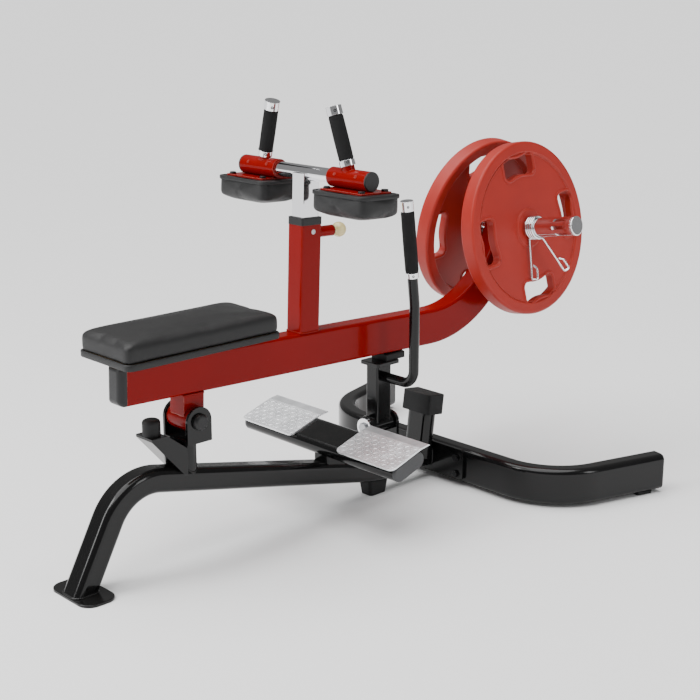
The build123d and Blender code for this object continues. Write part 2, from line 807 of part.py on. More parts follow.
seat_x = pivot_x - seat_front + seat_length / 2
seat_bottom_z = pivot_z + seat_rise
bracket_places = [(seat_x + side * bracket_spacing / 2, 0) for side in (-1, 1)]
seat_bolt_places = [(x, side * seat_bolt_spacing / 2) for x, _ in bracket_places for side in (-1, 1)]
with BuildPart() as seat_brackets:
    with BuildSketch(Plane.XY.offset(seat_bottom_z)):
        with Locations(bracket_places):
            RectangleRounded(bracket_along, bracket_across, 5)
        with Locations(seat_bolt_places):
            Circle(bolt_radius, mode=Mode.SUBTRACT)
    extrude(amount=-bracket_thickness)
    with BuildSketch(Plane.XY.offset(seat_bottom_z)):
        with Locations(bracket_places):
            Rectangle(bracket_along, beam_width - 8)
    extrude(amount=-beam_height / 3)
    with BuildSketch(arm_side.offset(-bracket_across)):
        with Locations((0, beam_top - beam_height)):
            Rectangle(4 * seat_length, 2 * beam_height)
    extrude(amount=2 * bracket_across, mode=Mode.SUBTRACT)
save(seat_brackets, "seat_brackets")

with BuildPart() as seat_board:
    with BuildSketch(Plane.XY.offset(seat_bottom_z)):
        with Locations((seat_x, 0)):
            RectangleRounded(seat_length - 2 * board_inset, seat_width - 2 * board_inset, seat_corner - board_inset)
        with Locations(seat_bolt_places):
            Circle(bolt_radius, mode=Mode.SUBTRACT)
    extrude(amount=seat_board_thickness)
save(seat_board, "seat_board")

seat_foam_z = seat_bottom_z + seat_board_thickness
with BuildPart() as seat_cushion:
    with BuildSketch(Plane.XY.offset(seat_foam_z)):
        with Locations((seat_x, 0)):
            RectangleRounded(seat_length, seat_width, seat_corner)
    extrude(amount=seat_foam_height)
    fillet(seat_cushion.edges().group_by(Axis.Z)[-1], radius=seat_edge)
save(seat_cushion, "seat_cushion")

with BuildPart() as seat_bolts:
    with BuildSketch(Plane.XY.offset(seat_bottom_z - bracket_thickness)):
        with Locations(seat_bolt_places):
            Circle(bolt_radius)
    extrude(amount=bracket_thickness + seat_board_thickness)
    with BuildSketch(Plane.XY.offset(seat_bottom_z - bracket_thickness)):
        with Locations(seat_bolt_places):
            RegularPolygon(bolt_head_radius, 6)
    extrude(amount=-bolt_head_height)
save(seat_bolts, "seat_bolts")

# ---- Upright, its liner, and the pop pin --------------------------------------------------------------

upright_foot = arm_plane(upright_along, 0, beam_top)
upright_top_plane = upright_foot.offset(upright_height)
pin_up = beam_top + upright_height - pin_drop
boss_start = upright_along + upright_depth / 2
pin_side = Plane(origin=arm_point(boss_start, 0, pin_up), x_dir=(0, 1, 0), z_dir=arm_along)
liner_depth = upright_depth - 2 * upright_wall
liner_width = upright_width - 2 * upright_wall
liner_corner = upright_corner - upright_wall
with BuildPart() as upright_tube:
    with BuildSketch(upright_foot):
        RectangleRounded(upright_depth, upright_width, upright_corner)
        RectangleRounded(liner_depth, liner_width, liner_corner, mode=Mode.SUBTRACT)
    extrude(amount=upright_height)
    with BuildSketch(pin_side):
        Circle(pin_radius + running_clearance)
    extrude(amount=-2 * upright_wall, mode=Mode.SUBTRACT)
save(upright_tube, "upright_tube")

with BuildPart() as upright_collar:
    with BuildSketch(upright_top_plane):
        RectangleRounded(upright_depth + 2 * collar_lip, upright_width + 2 * collar_lip, upright_corner + collar_lip)
    extrude(amount=collar_head)
    with BuildSketch(upright_top_plane):
        RectangleRounded(liner_depth, liner_width, liner_corner)
    extrude(amount=-liner_length)
    with BuildSketch(upright_top_plane.offset(collar_head)):
        RectangleRounded(
            post_tube_depth + 2 * slide_clearance,
            post_tube_width + 2 * slide_clearance,
            post_tube_corner + slide_clearance,
        )
    extrude(amount=-(collar_head + liner_length), mode=Mode.SUBTRACT)
    with BuildSketch(pin_side):
        Circle(pin_radius + running_clearance)
    extrude(amount=-upright_depth / 2, mode=Mode.SUBTRACT)
save(upright_collar, "upright_collar")

with BuildPart() as pop_pin_boss:
    with BuildSketch(pin_side):
        Circle(boss_radius)
    extrude(amount=boss_length)
    with BuildSketch(pin_side):
        Circle(boss_bore)
    extrude(amount=boss_length - boss_end_wall, mode=Mode.SUBTRACT)
    with BuildSketch(pin_side):
        Circle(pin_radius + running_clearance)
    extrude(amount=boss_length, mode=Mode.SUBTRACT)
save(pop_pin_boss, "pop_pin_boss")

post_face = (upright_depth - post_tube_depth) / 2
shoulder_start = 1.0
knob_start = boss_length + knob_gap
with BuildPart() as pop_pin_plunger:
    with BuildSketch(pin_side.offset(pin_clearance - post_face)):
        Circle(pin_radius)
    extrude(amount=post_face - pin_clearance + knob_start + knob_radius)
    with BuildSketch(pin_side.offset(shoulder_start)):
        Circle(boss_bore - slide_clearance)
    extrude(amount=shoulder_length)
save(pop_pin_plunger, "pop_pin_plunger")

spring_radius = (pin_radius + boss_bore) / 2
spring_room = boss_length - boss_end_wall - shoulder_start - shoulder_length - pin_travel
spring_height = spring_room - 2 * spring_wire
spring_plane = pin_side.offset(boss_length - boss_end_wall - spring_room + spring_wire)
spring_path = spring_plane * Helix(pitch=spring_height / spring_turns, height=spring_height, radius=spring_radius)
with BuildPart() as pop_pin_spring:
    with BuildSketch(Plane(origin=spring_path @ 0, z_dir=spring_path % 0)):
        Circle(spring_wire)
    sweep(path=spring_path, is_frenet=True)
save(pop_pin_spring, "pop_pin_spring")

with BuildPart() as pop_pin_knob:
    with Locations(pin_side.offset(knob_start + knob_radius)):
        Sphere(knob_radius)
    with BuildSketch(pin_side.offset(boss_length + 1)):
        Circle(boss_radius - 3)
    extrude(amount=knob_radius)
    add(pop_pin_plunger.part, mode=Mode.SUBTRACT)
save(pop_pin_knob, "pop_pin_knob")

# ---- Thigh carriage: sliding post, crossbar, sleeves, pads and handles -----------------------------------

crossbar = Plane(origin=arm_point(upright_along, 0, crossbar_up), x_dir=arm_along, z_dir=(0, -1, 0))
with BuildPart() as cross_tube:
    with BuildSketch(crossbar.offset(-crossbar_half_length)):
        Circle(crossbar_radius)
        Circle(crossbar_radius - frame_wall, mode=Mode.SUBTRACT)
    extrude(amount=2 * crossbar_half_length)
save(cross_tube, "cross_tube")

post_below = crossbar_up - beam_top - upright_height + post_insert
with BuildPart() as thigh_post:
    with BuildSketch(arm_plane(upright_along, 0, crossbar_up)):
        RectangleRounded(post_tube_depth, post_tube_width, post_tube_corner)
        RectangleRounded(
            post_tube_depth - 2 * post_tube_wall,
            post_tube_width - 2 * post_tube_wall,
            post_tube_corner - post_tube_wall,
            mode=Mode.SUBTRACT,
        )
    extrude(amount=-post_below)
    with BuildSketch(crossbar.offset(-post_tube_width)):
        Circle(crossbar_radius)
        with Locations((0, post_tube_depth / 2)):
            Rectangle(2 * post_tube_depth, post_tube_depth)
    extrude(amount=2 * post_tube_width, mode=Mode.SUBTRACT)
save(thigh_post, "thigh_post")

handle_inward = Vector(0, sin(radians(handle_lean)), 0) + arm_up * cos(radians(handle_lean))
handle_axis = handle_inward * cos(radians(handle_back)) - arm_along * sin(radians(handle_back))
handle_base = Plane(
    origin=arm_point(upright_along, -handle_at, crossbar_up),
    x_dir=arm_along,
    z_dir=handle_axis,
)
with BuildPart() as pad_sleeves:
    with BuildSketch(handle_base):
        Circle(handle_stub_radius)
        Circle(handle_tube_radius, mode=Mode.SUBTRACT)
    extrude(amount=handle_stub)
    with BuildSketch(crossbar.offset(sleeve_inner_end)):
        Circle(pad_sleeve_radius)
    extrude(amount=sleeve_outer_end - sleeve_inner_end)
    with BuildSketch(crossbar.offset(sleeve_inner_end)):
        Circle(crossbar_radius)
    extrude(amount=sleeve_outer_end - sleeve_inner_end, mode=Mode.SUBTRACT)
    mirror(about=Plane.XZ)
save(pad_sleeves, "pad_sleeves")

with BuildPart() as sleeve_end_caps:
    with BuildSketch(crossbar.offset(sleeve_outer_end)):
        Circle(pad_sleeve_radius)
    extrude(amount=pad_cap_length)
    fillet(sleeve_end_caps.faces().sort_by(Axis.Y)[0].edges(), radius=2)
    mirror(about=Plane.XZ)
save(sleeve_end_caps, "sleeve_end_caps")

plate_up = crossbar_up - pad_sleeve_radius
pad_plate_plane = arm_plane(upright_along, -pad_centre, plate_up)
pad_bolt_x = pad_plate_depth - 2 * pad_bolt_inset
pad_bolt_y = pad_plate_width - 2 * pad_bolt_inset
with BuildPart() as pad_plates:
    with BuildSketch(pad_plate_plane):
        RectangleRounded(pad_plate_depth, pad_plate_width, 6)
        with GridLocations(pad_bolt_x, pad_bolt_y, 2, 2):
            Circle(bolt_radius, mode=Mode.SUBTRACT)
    extrude(amount=-pad_plate_thickness)
    mirror(about=Plane.XZ)
save(pad_plates, "pad_plates")

with BuildPart() as pad_bolts:
    with BuildSketch(pad_plate_plane):
        with GridLocations(pad_bolt_x, pad_bolt_y, 2, 2):
            Circle(bolt_head_radius - 1)
    extrude(amount=bolt_head_height - 1)
    fillet(pad_bolts.edges().filter_by(GeomType.CIRCLE).group_by(Axis.Z)[-1], radius=3)
    with BuildSketch(pad_plate_plane):
        with GridLocations(pad_bolt_x, pad_bolt_y, 2, 2):
            Circle(bolt_radius)
    extrude(amount=-pad_plate_thickness)
    mirror(about=Plane.XZ)
save(pad_bolts, "pad_bolts")

with BuildPart() as thigh_pads:
    with BuildSketch(pad_plate_plane.offset(-pad_plate_thickness)):
        RectangleRounded(pad_depth, pad_width, pad_corner)
    extrude(amount=-pad_height)
    fillet(thigh_pads.faces().sort_by(Axis.Z)[0].edges(), radius=pad_edge)
    mirror(about=Plane.XZ)
save(thigh_pads, "thigh_pads")

handle_total = handle_stub + handle_collar + handle_grip_length + handle_cap
with BuildPart() as handle_tubes:
    with BuildSketch(handle_base):
        Circle(handle_tube_radius)
        Circle(handle_tube_radius - frame_wall, mode=Mode.SUBTRACT)
    extrude(amount=handle_total - handle_cap_wall)
    with BuildSketch(crossbar.offset(sleeve_inner_end)):
        Circle(pad_sleeve_radius)
    extrude(amount=sleeve_outer_end - sleeve_inner_end, mode=Mode.SUBTRACT)
    mirror(about=Plane.XZ)
save(handle_tubes, "handle_tubes")

with BuildPart() as handle_grips:
    with BuildSketch(handle_base.offset(handle_stub + handle_collar)):
        Circle(handle_grip_radius)
        Circle(handle_tube_radius, mode=Mode.SUBTRACT)
    extrude(amount=handle_grip_length)
    mirror(about=Plane.XZ)
save(handle_grips, "handle_grips")

with BuildPart() as handle_ferrules:
    with BuildSketch(handle_base.offset(handle_stub)):
        Circle(handle_ferrule_radius)
    extrude(amount=handle_collar)
    with BuildSketch(handle_base.offset(handle_total - handle_cap)):
        Circle(handle_ferrule_radius)
    extrude(amount=handle_cap)
    with BuildSketch(handle_base):
        Circle(handle_tube_radius)
    extrude(amount=handle_total - handle_cap_wall, mode=Mode.SUBTRACT)
    mirror(about=Plane.XZ)
save(handle_ferrules, "handle_ferrules")

# ---- Weight horns -----------------------------------------------------------------------------------

with BuildPart() as weight_horns:
    with BuildSketch(horn_plane(0)):
        Circle(horn_radius)
    extrude(amount=horn_length - horn_cap_length)
    with BuildSketch(horn_plane(plate_start - plate_gap - horn_flange_thickness)):
        Circle(horn_flange_radius)
    extrude(amount=horn_flange_thickness)
    with BuildSketch(horn_plane(0)):
        Circle(horn_radius - horn_wall)
    extrude(amount=horn_length, mode=Mode.SUBTRACT)
    split(bisect_by=Plane.XZ.offset(beam_width / 2), keep=Keep.TOP)
    mirror(about=Plane.XZ)
save(weight_horns, "weight_horns")

with BuildPart() as horn_end_caps:
    with BuildSketch(horn_plane(horn_length - horn_cap_length)):
        Circle(horn_radius)
    extrude(amount=horn_cap_length)
    fillet(horn_end_caps.faces().sort_by(Axis.Y)[0].edges(), radius=2.5)
    mirror(about=Plane.XZ)
save(horn_end_caps, "horn_end_caps")

# ---- Weight plates ------------------------------------------------------------------------------------

bore_radius = horn_radius + plate_bore_clearance
web_outer = plate_thickness - plate_dish
web_inner = web_outer - plate_web
waist_radius = grip_hole_length
waist_depth = (grip_hole_width - grip_hole_waist) / 2
profile_plane = Plane(origin=horn_plane(plate_start).origin, x_dir=arm_along, z_dir=horn_plane(0).y_dir * -1)
with BuildPart() as weight_plate_right:
    with BuildSketch(profile_plane):
        with BuildLine():
            Polyline(
                (bore_radius, 0),
                (plate_hub_radius, 0),
                (plate_hub_radius + 6, web_inner),
                (plate_radius - plate_rim - 6, web_inner),
                (plate_radius - plate_rim, 0),
                (plate_radius, 0),
                (plate_radius, plate_thickness),
                (plate_radius - plate_rim, plate_thickness),
                (plate_radius - plate_rim - plate_dish, web_outer),
                (plate_hub_radius + plate_dish, web_outer),
                (plate_hub_radius, plate_thickness),
                (bore_radius, plate_thickness),
                close=True,
            )
        make_face()
    revolve(axis=Axis(horn_plane(0).origin, horn_plane(0).z_dir))
    rim_edges = weight_plate_right.edges().filter_by(GeomType.CIRCLE)
    fillet(rim_edges.filter_by(lambda edge: edge.radius > plate_radius - 1), radius=plate_edge)
    with BuildSketch(horn_plane(plate_start, grip_hole_turn)):
        with PolarLocations(grip_hole_radius, 4, start_angle=90):
            RectangleRounded(grip_hole_width, grip_hole_length, 17)
            with Locations(
                (grip_hole_width / 2 - waist_depth + waist_radius, 0),
                (-grip_hole_width / 2 + waist_depth - waist_radius, 0),
            ):
                Circle(waist_radius, mode=Mode.SUBTRACT)
    extrude(amount=plate_thickness, mode=Mode.SUBTRACT)
save(weight_plate_right, "weight_plate_right")

with BuildPart() as weight_plate_left:
    add(weight_plate_right.part)
    mirror(about=Plane.XZ, mode=Mode.REPLACE)
save(weight_plate_left, "weight_plate_left")

# ---- Spring collars: a coil gripping the horn and two wire handles ---------------------------------------

coil_radius = horn_radius + coil_clearance + coil_wire
coil_start = plate_start + plate_thickness + coil_clearance + coil_wire
coil_length = coil_pitch * coil_turns
coil_plane = horn_plane(coil_start, -90)


def wire_handle(start, sideways, drop, turn):
    # leaves the coil sideways, drops, turns back on itself and ends in a short hook
    inside = start - sideways * handle_wire / 2
    corner = start + sideways * wire_offset
    low = corner + drop * collar_handle_length
    far = low + turn * collar_loop_width
    back = far - drop * collar_loop_return
    tip = back - (turn + drop) * (collar_loop_width * 0.6)
    points = [tuple(place) for place in (inside, corner, low, far, back, tip)]
    return FilletPolyline(*points, radius=wire_bend)


# in the coil's plane x is down, y is toward the rear and z is outward along the horn
coil_ends = (
    (Vector(coil_radius, 0, 0), Vector(0, -1, 0), Vector(1, 0, 0), Vector(0, 0.4, 0.9)),
    (Vector(coil_radius, 0, coil_length), Vector(0, 1, 0), Vector(0.86, 0.42, 0.28), Vector(-0.42, 0.84, 0.34)),
)
coil_path = coil_plane * Helix(pitch=coil_pitch, height=coil_length, radius=coil_radius)
with BuildPart() as collar_right:
    with BuildSketch(Plane(origin=coil_path @ 0, z_dir=coil_path % 0)):
        Circle(coil_wire)
    sweep(path=coil_path, is_frenet=True)
    for start, sideways, drop, turn in coil_ends:
        with BuildLine(coil_plane) as handle_path:
            wire_handle(start, sideways, drop, turn)
        with BuildSketch(Plane(origin=handle_path.line @ 0, z_dir=handle_path.line % 0)):
            Circle(handle_wire)
        sweep(path=handle_path.line)
save(collar_right, "collar_right")

with BuildPart() as collar_left:
    add(collar_right.part)
    mirror(about=Plane.XZ, mode=Mode.REPLACE)
save(collar_left, "collar_left")
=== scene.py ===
import json
from math import radians

import bpy
import numpy as np
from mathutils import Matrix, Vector


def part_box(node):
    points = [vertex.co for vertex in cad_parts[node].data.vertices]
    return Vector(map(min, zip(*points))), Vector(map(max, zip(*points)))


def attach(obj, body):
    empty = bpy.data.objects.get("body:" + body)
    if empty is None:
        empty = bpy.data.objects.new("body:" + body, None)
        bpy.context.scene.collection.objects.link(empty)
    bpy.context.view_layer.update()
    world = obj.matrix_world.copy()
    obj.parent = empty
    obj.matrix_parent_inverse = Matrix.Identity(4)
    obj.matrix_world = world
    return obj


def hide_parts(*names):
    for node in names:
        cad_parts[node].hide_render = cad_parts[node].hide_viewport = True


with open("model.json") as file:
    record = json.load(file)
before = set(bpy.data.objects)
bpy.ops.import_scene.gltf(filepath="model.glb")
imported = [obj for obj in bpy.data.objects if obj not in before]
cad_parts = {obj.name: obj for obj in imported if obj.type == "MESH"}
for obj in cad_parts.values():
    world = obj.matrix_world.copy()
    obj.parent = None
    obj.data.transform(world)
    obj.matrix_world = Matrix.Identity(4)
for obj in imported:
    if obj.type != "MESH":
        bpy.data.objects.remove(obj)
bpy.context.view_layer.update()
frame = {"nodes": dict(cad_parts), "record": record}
bpy.ops.object.select_all(action="DESELECT")
record = frame["record"]
joints = {joint["name"]: joint for joint in record["behaviour"]["joints"]}
print("frame loaded:", len(frame["nodes"]), "nodes")

# the arm's own directions, read from its joints: along the beam and square to its top
pivot = np.array(joints["arm_pivot"]["pos_m"])
armUp = np.array(joints["thigh_height"]["axis"])
armAlong = np.array([armUp[2], 0.0, -armUp[0]])
across = np.array([0.0, 1.0, 0.0])


# makes an empty group with named sockets and returns its tree, input node and output node
def newGroup(name, inputs, outputs):
    tree = bpy.data.node_groups.new(name, "ShaderNodeTree")
    for label, kind, value in inputs:
        socket = tree.interface.new_socket(name=label, in_out="INPUT", socket_type="NodeSocket" + kind)
        socket.default_value = value
    for label, kind in outputs:
        tree.interface.new_socket(name=label, in_out="OUTPUT", socket_type="NodeSocket" + kind)
    return tree, tree.nodes.new("NodeGroupInput"), tree.nodes.new("NodeGroupOutput")


# adds a math node fed by sockets or plain numbers and returns its output
def mathNode(tree, operation, *values, clamp=False):
    node = tree.nodes.new("ShaderNodeMath")
    node.operation = operation
    node.use_clamp = clamp
    for index, value in enumerate(values):
        if isinstance(value, (int, float)):
            node.inputs[index].default_value = value
        else:
            tree.links.new(value, node.inputs[index])
    return node.outputs[0]


# noise on object coordinates, from fine to coarse, as one value near 0.5
def noiseNode(tree, scale, detail=3.0, roughness=0.55, stretch=None):
    coords = tree.nodes.new("ShaderNodeTexCoord").outputs["Object"]
    if stretch is not None:
        mapping = tree.nodes.new("ShaderNodeMapping")
        mapping.inputs["Scale"].default_value = stretch
        tree.links.new(coords, mapping.inputs["Vector"])
        coords = mapping.outputs["Vector"]
    noise = tree.nodes.new("ShaderNodeTexNoise")
    tree.links.new(coords, noise.inputs["Vector"])
    if isinstance(scale, (int, float)):
        noise.inputs["Scale"].default_value = scale
    else:
        tree.links.new(scale, noise.inputs["Scale"])
    noise.inputs["Detail"].default_value = detail
    noise.inputs["Roughness"].default_value = roughness
    return noise.outputs["Fac"]


# tone: a colour moved a little lighter or darker by broad soft noise
def buildToneGroup():
    tree, source, result = newGroup(
        "toneVariation",
        [("Colour", "Color", (0.5, 0.5, 0.5, 1)), ("Amount", "Float", 0.1), ("Scale", "Float", 9.0)],
        [("Colour", "Color")],
    )
    noise = noiseNode(tree, source.outputs["Scale"], 4.0)
    centred = mathNode(tree, "SUBTRACT", noise, 0.5)
    swing = mathNode(tree, "MULTIPLY", centred, source.outputs["Amount"])
    value = mathNode(tree, "ADD", mathNode(tree, "MULTIPLY", swing, 2.0), 1.0)
    shade = tree.nodes.new("ShaderNodeHueSaturation")
    tree.links.new(source.outputs["Colour"], shade.inputs["Color"])
    tree.links.new(value, shade.inputs["Value"])
    tree.links.new(shade.outputs["Color"], result.inputs["Colour"])
    return tree


# edge: 1 where a rounded normal parts from the true one, which is along edges and corners
def buildEdgeGroup():
    tree, source, result = newGroup(
        "edgeMask",
        [("Radius", "Float", 0.002), ("Gain", "Float", 4.0)],
        [("Mask", "Float"), ("Normal", "Vector")],
    )
    bevel = tree.nodes.new("ShaderNodeBevel")
    bevel.samples = 6
    tree.links.new(source.outputs["Radius"], bevel.inputs["Radius"])
    geometry = tree.nodes.new("ShaderNodeNewGeometry")
    dot = tree.nodes.new("ShaderNodeVectorMath")
    dot.operation = "DOT_PRODUCT"
    tree.links.new(bevel.outputs["Normal"], dot.inputs[0])
    tree.links.new(geometry.outputs["Normal"], dot.inputs[1])
    parted = mathNode(tree, "SUBTRACT", 1.0, dot.outputs["Value"])
    mask = mathNode(tree, "MULTIPLY", parted, source.outputs["Gain"], clamp=True)
    tree.links.new(mask, result.inputs["Mask"])
    tree.links.new(bevel.outputs["Normal"], result.inputs["Normal"])
    return tree


dustLook = dict(colour=(0.42, 0.4, 0.37, 1), falloff=2.0, scale=38.0, detail=6.0, roughness=0.7)


# dust: a power of how far a face looks up, broken by noise
def buildDustGroup():
    tree, source, result = newGroup("dustMask", [("Amount", "Float", 0.2)], [("Mask", "Float")])
    geometry = tree.nodes.new("ShaderNodeNewGeometry")
    split = tree.nodes.new("ShaderNodeSeparateXYZ")
    tree.links.new(geometry.outputs["Normal"], split.inputs["Vector"])
    upward = mathNode(tree, "POWER", mathNode(tree, "MAXIMUM", split.outputs["Z"], 0.0), dustLook["falloff"])
    specks = noiseNode(tree, dustLook["scale"], dustLook["detail"], dustLook["roughness"])
    broken = mathNode(tree, "MULTIPLY", upward, specks)
    mask = mathNode(tree, "MULTIPLY", broken, source.outputs["Amount"], clamp=True)
    tree.links.new(mask, result.inputs["Mask"])
    return tree


grainLook = dict(steepness=3.0, plateau=0.7, rounding=0.3, fineScale=2600.0, fineDetail=2.0, fineShare=0.3)


# skin grain: small rounded cells with creases between them, and a share of finer noise on top
def buildGrainGroup():
    tree, source, result = newGroup("skinGrain", [("Scale", "Float", 700.0)], [("Height", "Float")])
    coords = tree.nodes.new("ShaderNodeTexCoord")
    cells = tree.nodes.new("ShaderNodeTexVoronoi")
    cells.feature = "DISTANCE_TO_EDGE"
    tree.links.new(coords.outputs["Object"], cells.inputs["Vector"])
    tree.links.new(source.outputs["Scale"], cells.inputs["Scale"])
    slopes = mathNode(tree, "MULTIPLY", cells.outputs["Distance"], grainLook["steepness"])
    domes = mathNode(tree, "SMOOTH_MIN", slopes, grainLook["plateau"], grainLook["rounding"])
    pores = noiseNode(tree, grainLook["fineScale"], grainLook["fineDetail"])
    fine = mathNode(tree, "MULTIPLY", pores, grainLook["fineShare"])
    tree.links.new(mathNode(tree, "ADD", domes, fine), result.inputs["Height"])
    return tree


toneGroup = buildToneGroup()
edgeGroup = buildEdgeGroup()
dustGroup = buildDustGroup()
grainGroup = buildGrainGroup()


# places a group in a material and sets its plain inputs
def useGroup(tree, group, **values):
    node = tree.nodes.new("ShaderNodeGroup")
    node.node_tree = group
    for label, value in values.items():
        node.inputs[label].default_value = value
    return node


# mixes two colours by a mask
def mixColour(tree, mask, first, second):
    node = tree.nodes.new("ShaderNodeMix")
    node.data_type = "RGBA"
    tree.links.new(mask, node.inputs["Factor"])
    for value, socket in ((first, node.inputs[6]), (second, node.inputs[7])):  # the node's two colour inputs
        if isinstance(value, tuple):
            socket.default_value = value
        else:
            tree.links.new(value, socket)
    return node.outputs[2]  # its colour output


# maps a 0..1 value to a range
def spread(tree, value, low, high):
    return mathNode(tree, "ADD", mathNode(tree, "MULTIPLY", value, high - low), low)


wearNoise = dict(scale=60.0, detail=5.0, roughness=0.7)


# a finish: varied base colour, worn and dusty where it is so, uneven gloss, and a fine bump over soft edges
def finish(name, look):
    material = bpy.data.materials.new(name)
    material.use_nodes = True
    tree = material.node_tree
    shader = tree.nodes["Principled BSDF"]
    toneScale = look.get("toneScale", 9.0)
    tone = useGroup(tree, toneGroup, Colour=(*look["colour"], 1), Amount=look["tone"], Scale=toneScale)
    colour = tone.outputs["Colour"]
    edge = useGroup(tree, edgeGroup, Radius=look.get("edgeRadius", 0.0012), Gain=look.get("edgeGain", 3.0))
    if look.get("worn"):
        patchy = mathNode(tree, "GREATER_THAN", noiseNode(tree, **wearNoise), look["wornFrom"])
        worn = mathNode(tree, "MULTIPLY", edge.outputs["Mask"], patchy)
        colour = mixColour(tree, worn, colour, (*look["worn"], 1))
    if look.get("dust"):
        dust = useGroup(tree, dustGroup, Amount=look["dust"])
        colour = mixColour(tree, dust.outputs["Mask"], colour, dustLook["colour"])
    tree.links.new(colour, shader.inputs["Base Color"])
    cloudy = noiseNode(tree, look.get("glossScale", 22.0), 4.0, 0.6, look.get("stretch"))
    gloss = spread(tree, cloudy, look["rough"][0], look["rough"][1])
    tree.links.new(gloss, shader.inputs["Roughness"])
    shader.inputs["Metallic"].default_value = look.get("metal", 0.0)
    shader.inputs["Coat Weight"].default_value = look.get("coat", 0.0)
    shader.inputs["Coat Roughness"].default_value = look.get("coatRough", 0.05)
    shader.inputs["Sheen Weight"].default_value = look.get("sheen", 0.0)
    shader.inputs["Specular IOR Level"].default_value = look.get("specular", 0.5)
    bump = tree.nodes.new("ShaderNodeBump")
    bump.inputs["Strength"].default_value = look.get("bump", 0.2)
    bump.inputs["Distance"].default_value = look.get("bumpDepth", 0.0004)
    if look.get("skin"):
        height = useGroup(tree, grainGroup, Scale=look["skin"]).outputs["Height"]
    else:
        height = noiseNode(tree, look.get("bumpScale", 420.0), 2.0, 0.5, look.get("stretch"))
    tree.links.new(height, bump.inputs["Height"])
    tree.links.new(edge.outputs["Normal"], bump.inputs["Normal"])
    tree.links.new(bump.outputs["Normal"], shader.inputs["Normal"])
    return material


plyLook = dict(pores=(0.2, 0.12, 0.06, 1), scale=30.0, detail=6.0, roughness=0.65, stretch=(1.0, 14.0, 60.0))


# plywood: rings stretched along the board, with darker pores
def plyFinish(name, look):
    material = finish(name, look)
    tree = material.node_tree
    shader = tree.nodes["Principled BSDF"]
    base = shader.inputs["Base Color"].links[0].from_socket
    streaks = noiseNode(tree, plyLook["scale"], plyLook["detail"], plyLook["roughness"], plyLook["stretch"])
    tree.links.new(mixColour(tree, streaks, base, plyLook["pores"]), shader.inputs["Base Color"])
    return material


finishes = {
    "black_frame": dict(
        colour=(0.003, 0.003, 0.0032), tone=0.25, rough=(0.12, 0.22), specular=0.2, coat=0.24, coatRough=0.05,
        bump=0.05, bumpScale=420.0, bumpDepth=0.0002, worn=(0.05, 0.05, 0.05), wornFrom=0.62, dust=0.02,
        edgeRadius=0.0015,
    ),
    "red_arm": dict(
        colour=(0.21, 0.0012, 0.0006), tone=0.08, rough=(0.2, 0.3), specular=0.08, coat=0.1, coatRough=0.06,
        bump=0.04, bumpScale=380.0, bumpDepth=0.0002, worn=(0.62, 0.2, 0.16), wornFrom=0.42, dust=0.015,
        edgeRadius=0.0018,
    ),
    "red_plate": dict(
        colour=(0.36, 0.02, 0.012), tone=0.14, toneScale=14.0, rough=(0.36, 0.5), specular=0.3,
        bump=0.25, bumpScale=900.0, bumpDepth=0.0004, worn=(0.56, 0.12, 0.07), wornFrom=0.35, dust=0.04,
        edgeRadius=0.003, edgeGain=2.0,
    ),
    "chrome": dict(
        colour=(0.86, 0.86, 0.88), tone=0.05, rough=(0.03, 0.09), metal=1.0, bump=0.02, bumpScale=60.0,
        glossScale=14.0, edgeRadius=0.0008,
    ),
    "steel": dict(
        colour=(0.52, 0.53, 0.55), tone=0.12, rough=(0.25, 0.42), metal=1.0, bump=0.15, bumpScale=300.0,
        stretch=(1.0, 1.0, 6.0), edgeRadius=0.0006,
    ),
    "black_bolt": dict(
        colour=(0.01, 0.01, 0.011), tone=0.2, rough=(0.25, 0.42), metal=0.6, bump=0.15, bumpScale=700.0,
        worn=(0.3, 0.3, 0.3), wornFrom=0.55, edgeRadius=0.0008,
    ),
    "tread": dict(
        colour=(0.9, 0.91, 0.93), tone=0.12, toneScale=30.0, rough=(0.26, 0.46), metal=0.8, bump=0.4,
        bumpScale=46.0, bumpDepth=0.001, glossScale=30.0, edgeRadius=0.0008,
    ),
    "black_rubber": dict(
        colour=(0.007, 0.007, 0.0075), tone=0.2, rough=(0.5, 0.7), specular=0.3, bump=0.35, bumpScale=1100.0,
        dust=0.05, edgeRadius=0.0015,
    ),
    "black_plastic": dict(
        colour=(0.009, 0.009, 0.01), tone=0.15, rough=(0.32, 0.44), specular=0.35, bump=0.25, skin=1500.0,
        bumpDepth=0.0002, dust=0.03, edgeRadius=0.001,
    ),
    "grey_plastic": dict(
        colour=(0.05, 0.051, 0.054), tone=0.12, rough=(0.34, 0.46), specular=0.35, bump=0.25, skin=1500.0,
        bumpDepth=0.0002, edgeRadius=0.001,
    ),
    "bronze": dict(
        colour=(0.55, 0.36, 0.16), tone=0.15, rough=(0.25, 0.4), metal=1.0, bump=0.1, bumpScale=600.0,
        edgeRadius=0.0005,
    ),
    "cream_knob": dict(
        colour=(0.72, 0.6, 0.28), tone=0.1, toneScale=40.0, rough=(0.14, 0.26), coat=0.5, bump=0.05,
        bumpScale=200.0, edgeRadius=0.001,
    ),
    "grip_foam": dict(
        colour=(0.009, 0.009, 0.0095), tone=0.25, rough=(0.75, 0.92), specular=0.25, bump=0.6, skin=1300.0,
        bumpDepth=0.0006, edgeRadius=0.001,
    ),
    "vinyl": dict(
        colour=(0.008, 0.008, 0.0085), tone=0.16, toneScale=5.0, rough=(0.38, 0.5), specular=0.36, bump=0.4,
        skin=620.0, bumpDepth=0.0005, dust=0.03, edgeRadius=0.001,
    ),
    "seat_board": dict(
        colour=(0.42, 0.29, 0.16), tone=0.15, rough=(0.5, 0.7), bump=0.3, bumpScale=200.0,
        stretch=(1.0, 12.0, 40.0),
    ),
}
makers = {"seat_board": plyFinish}  # every other slot is made by finish
materials = {slot: makers.get(slot, finish)(slot + "Finish", look) for slot, look in finishes.items()}

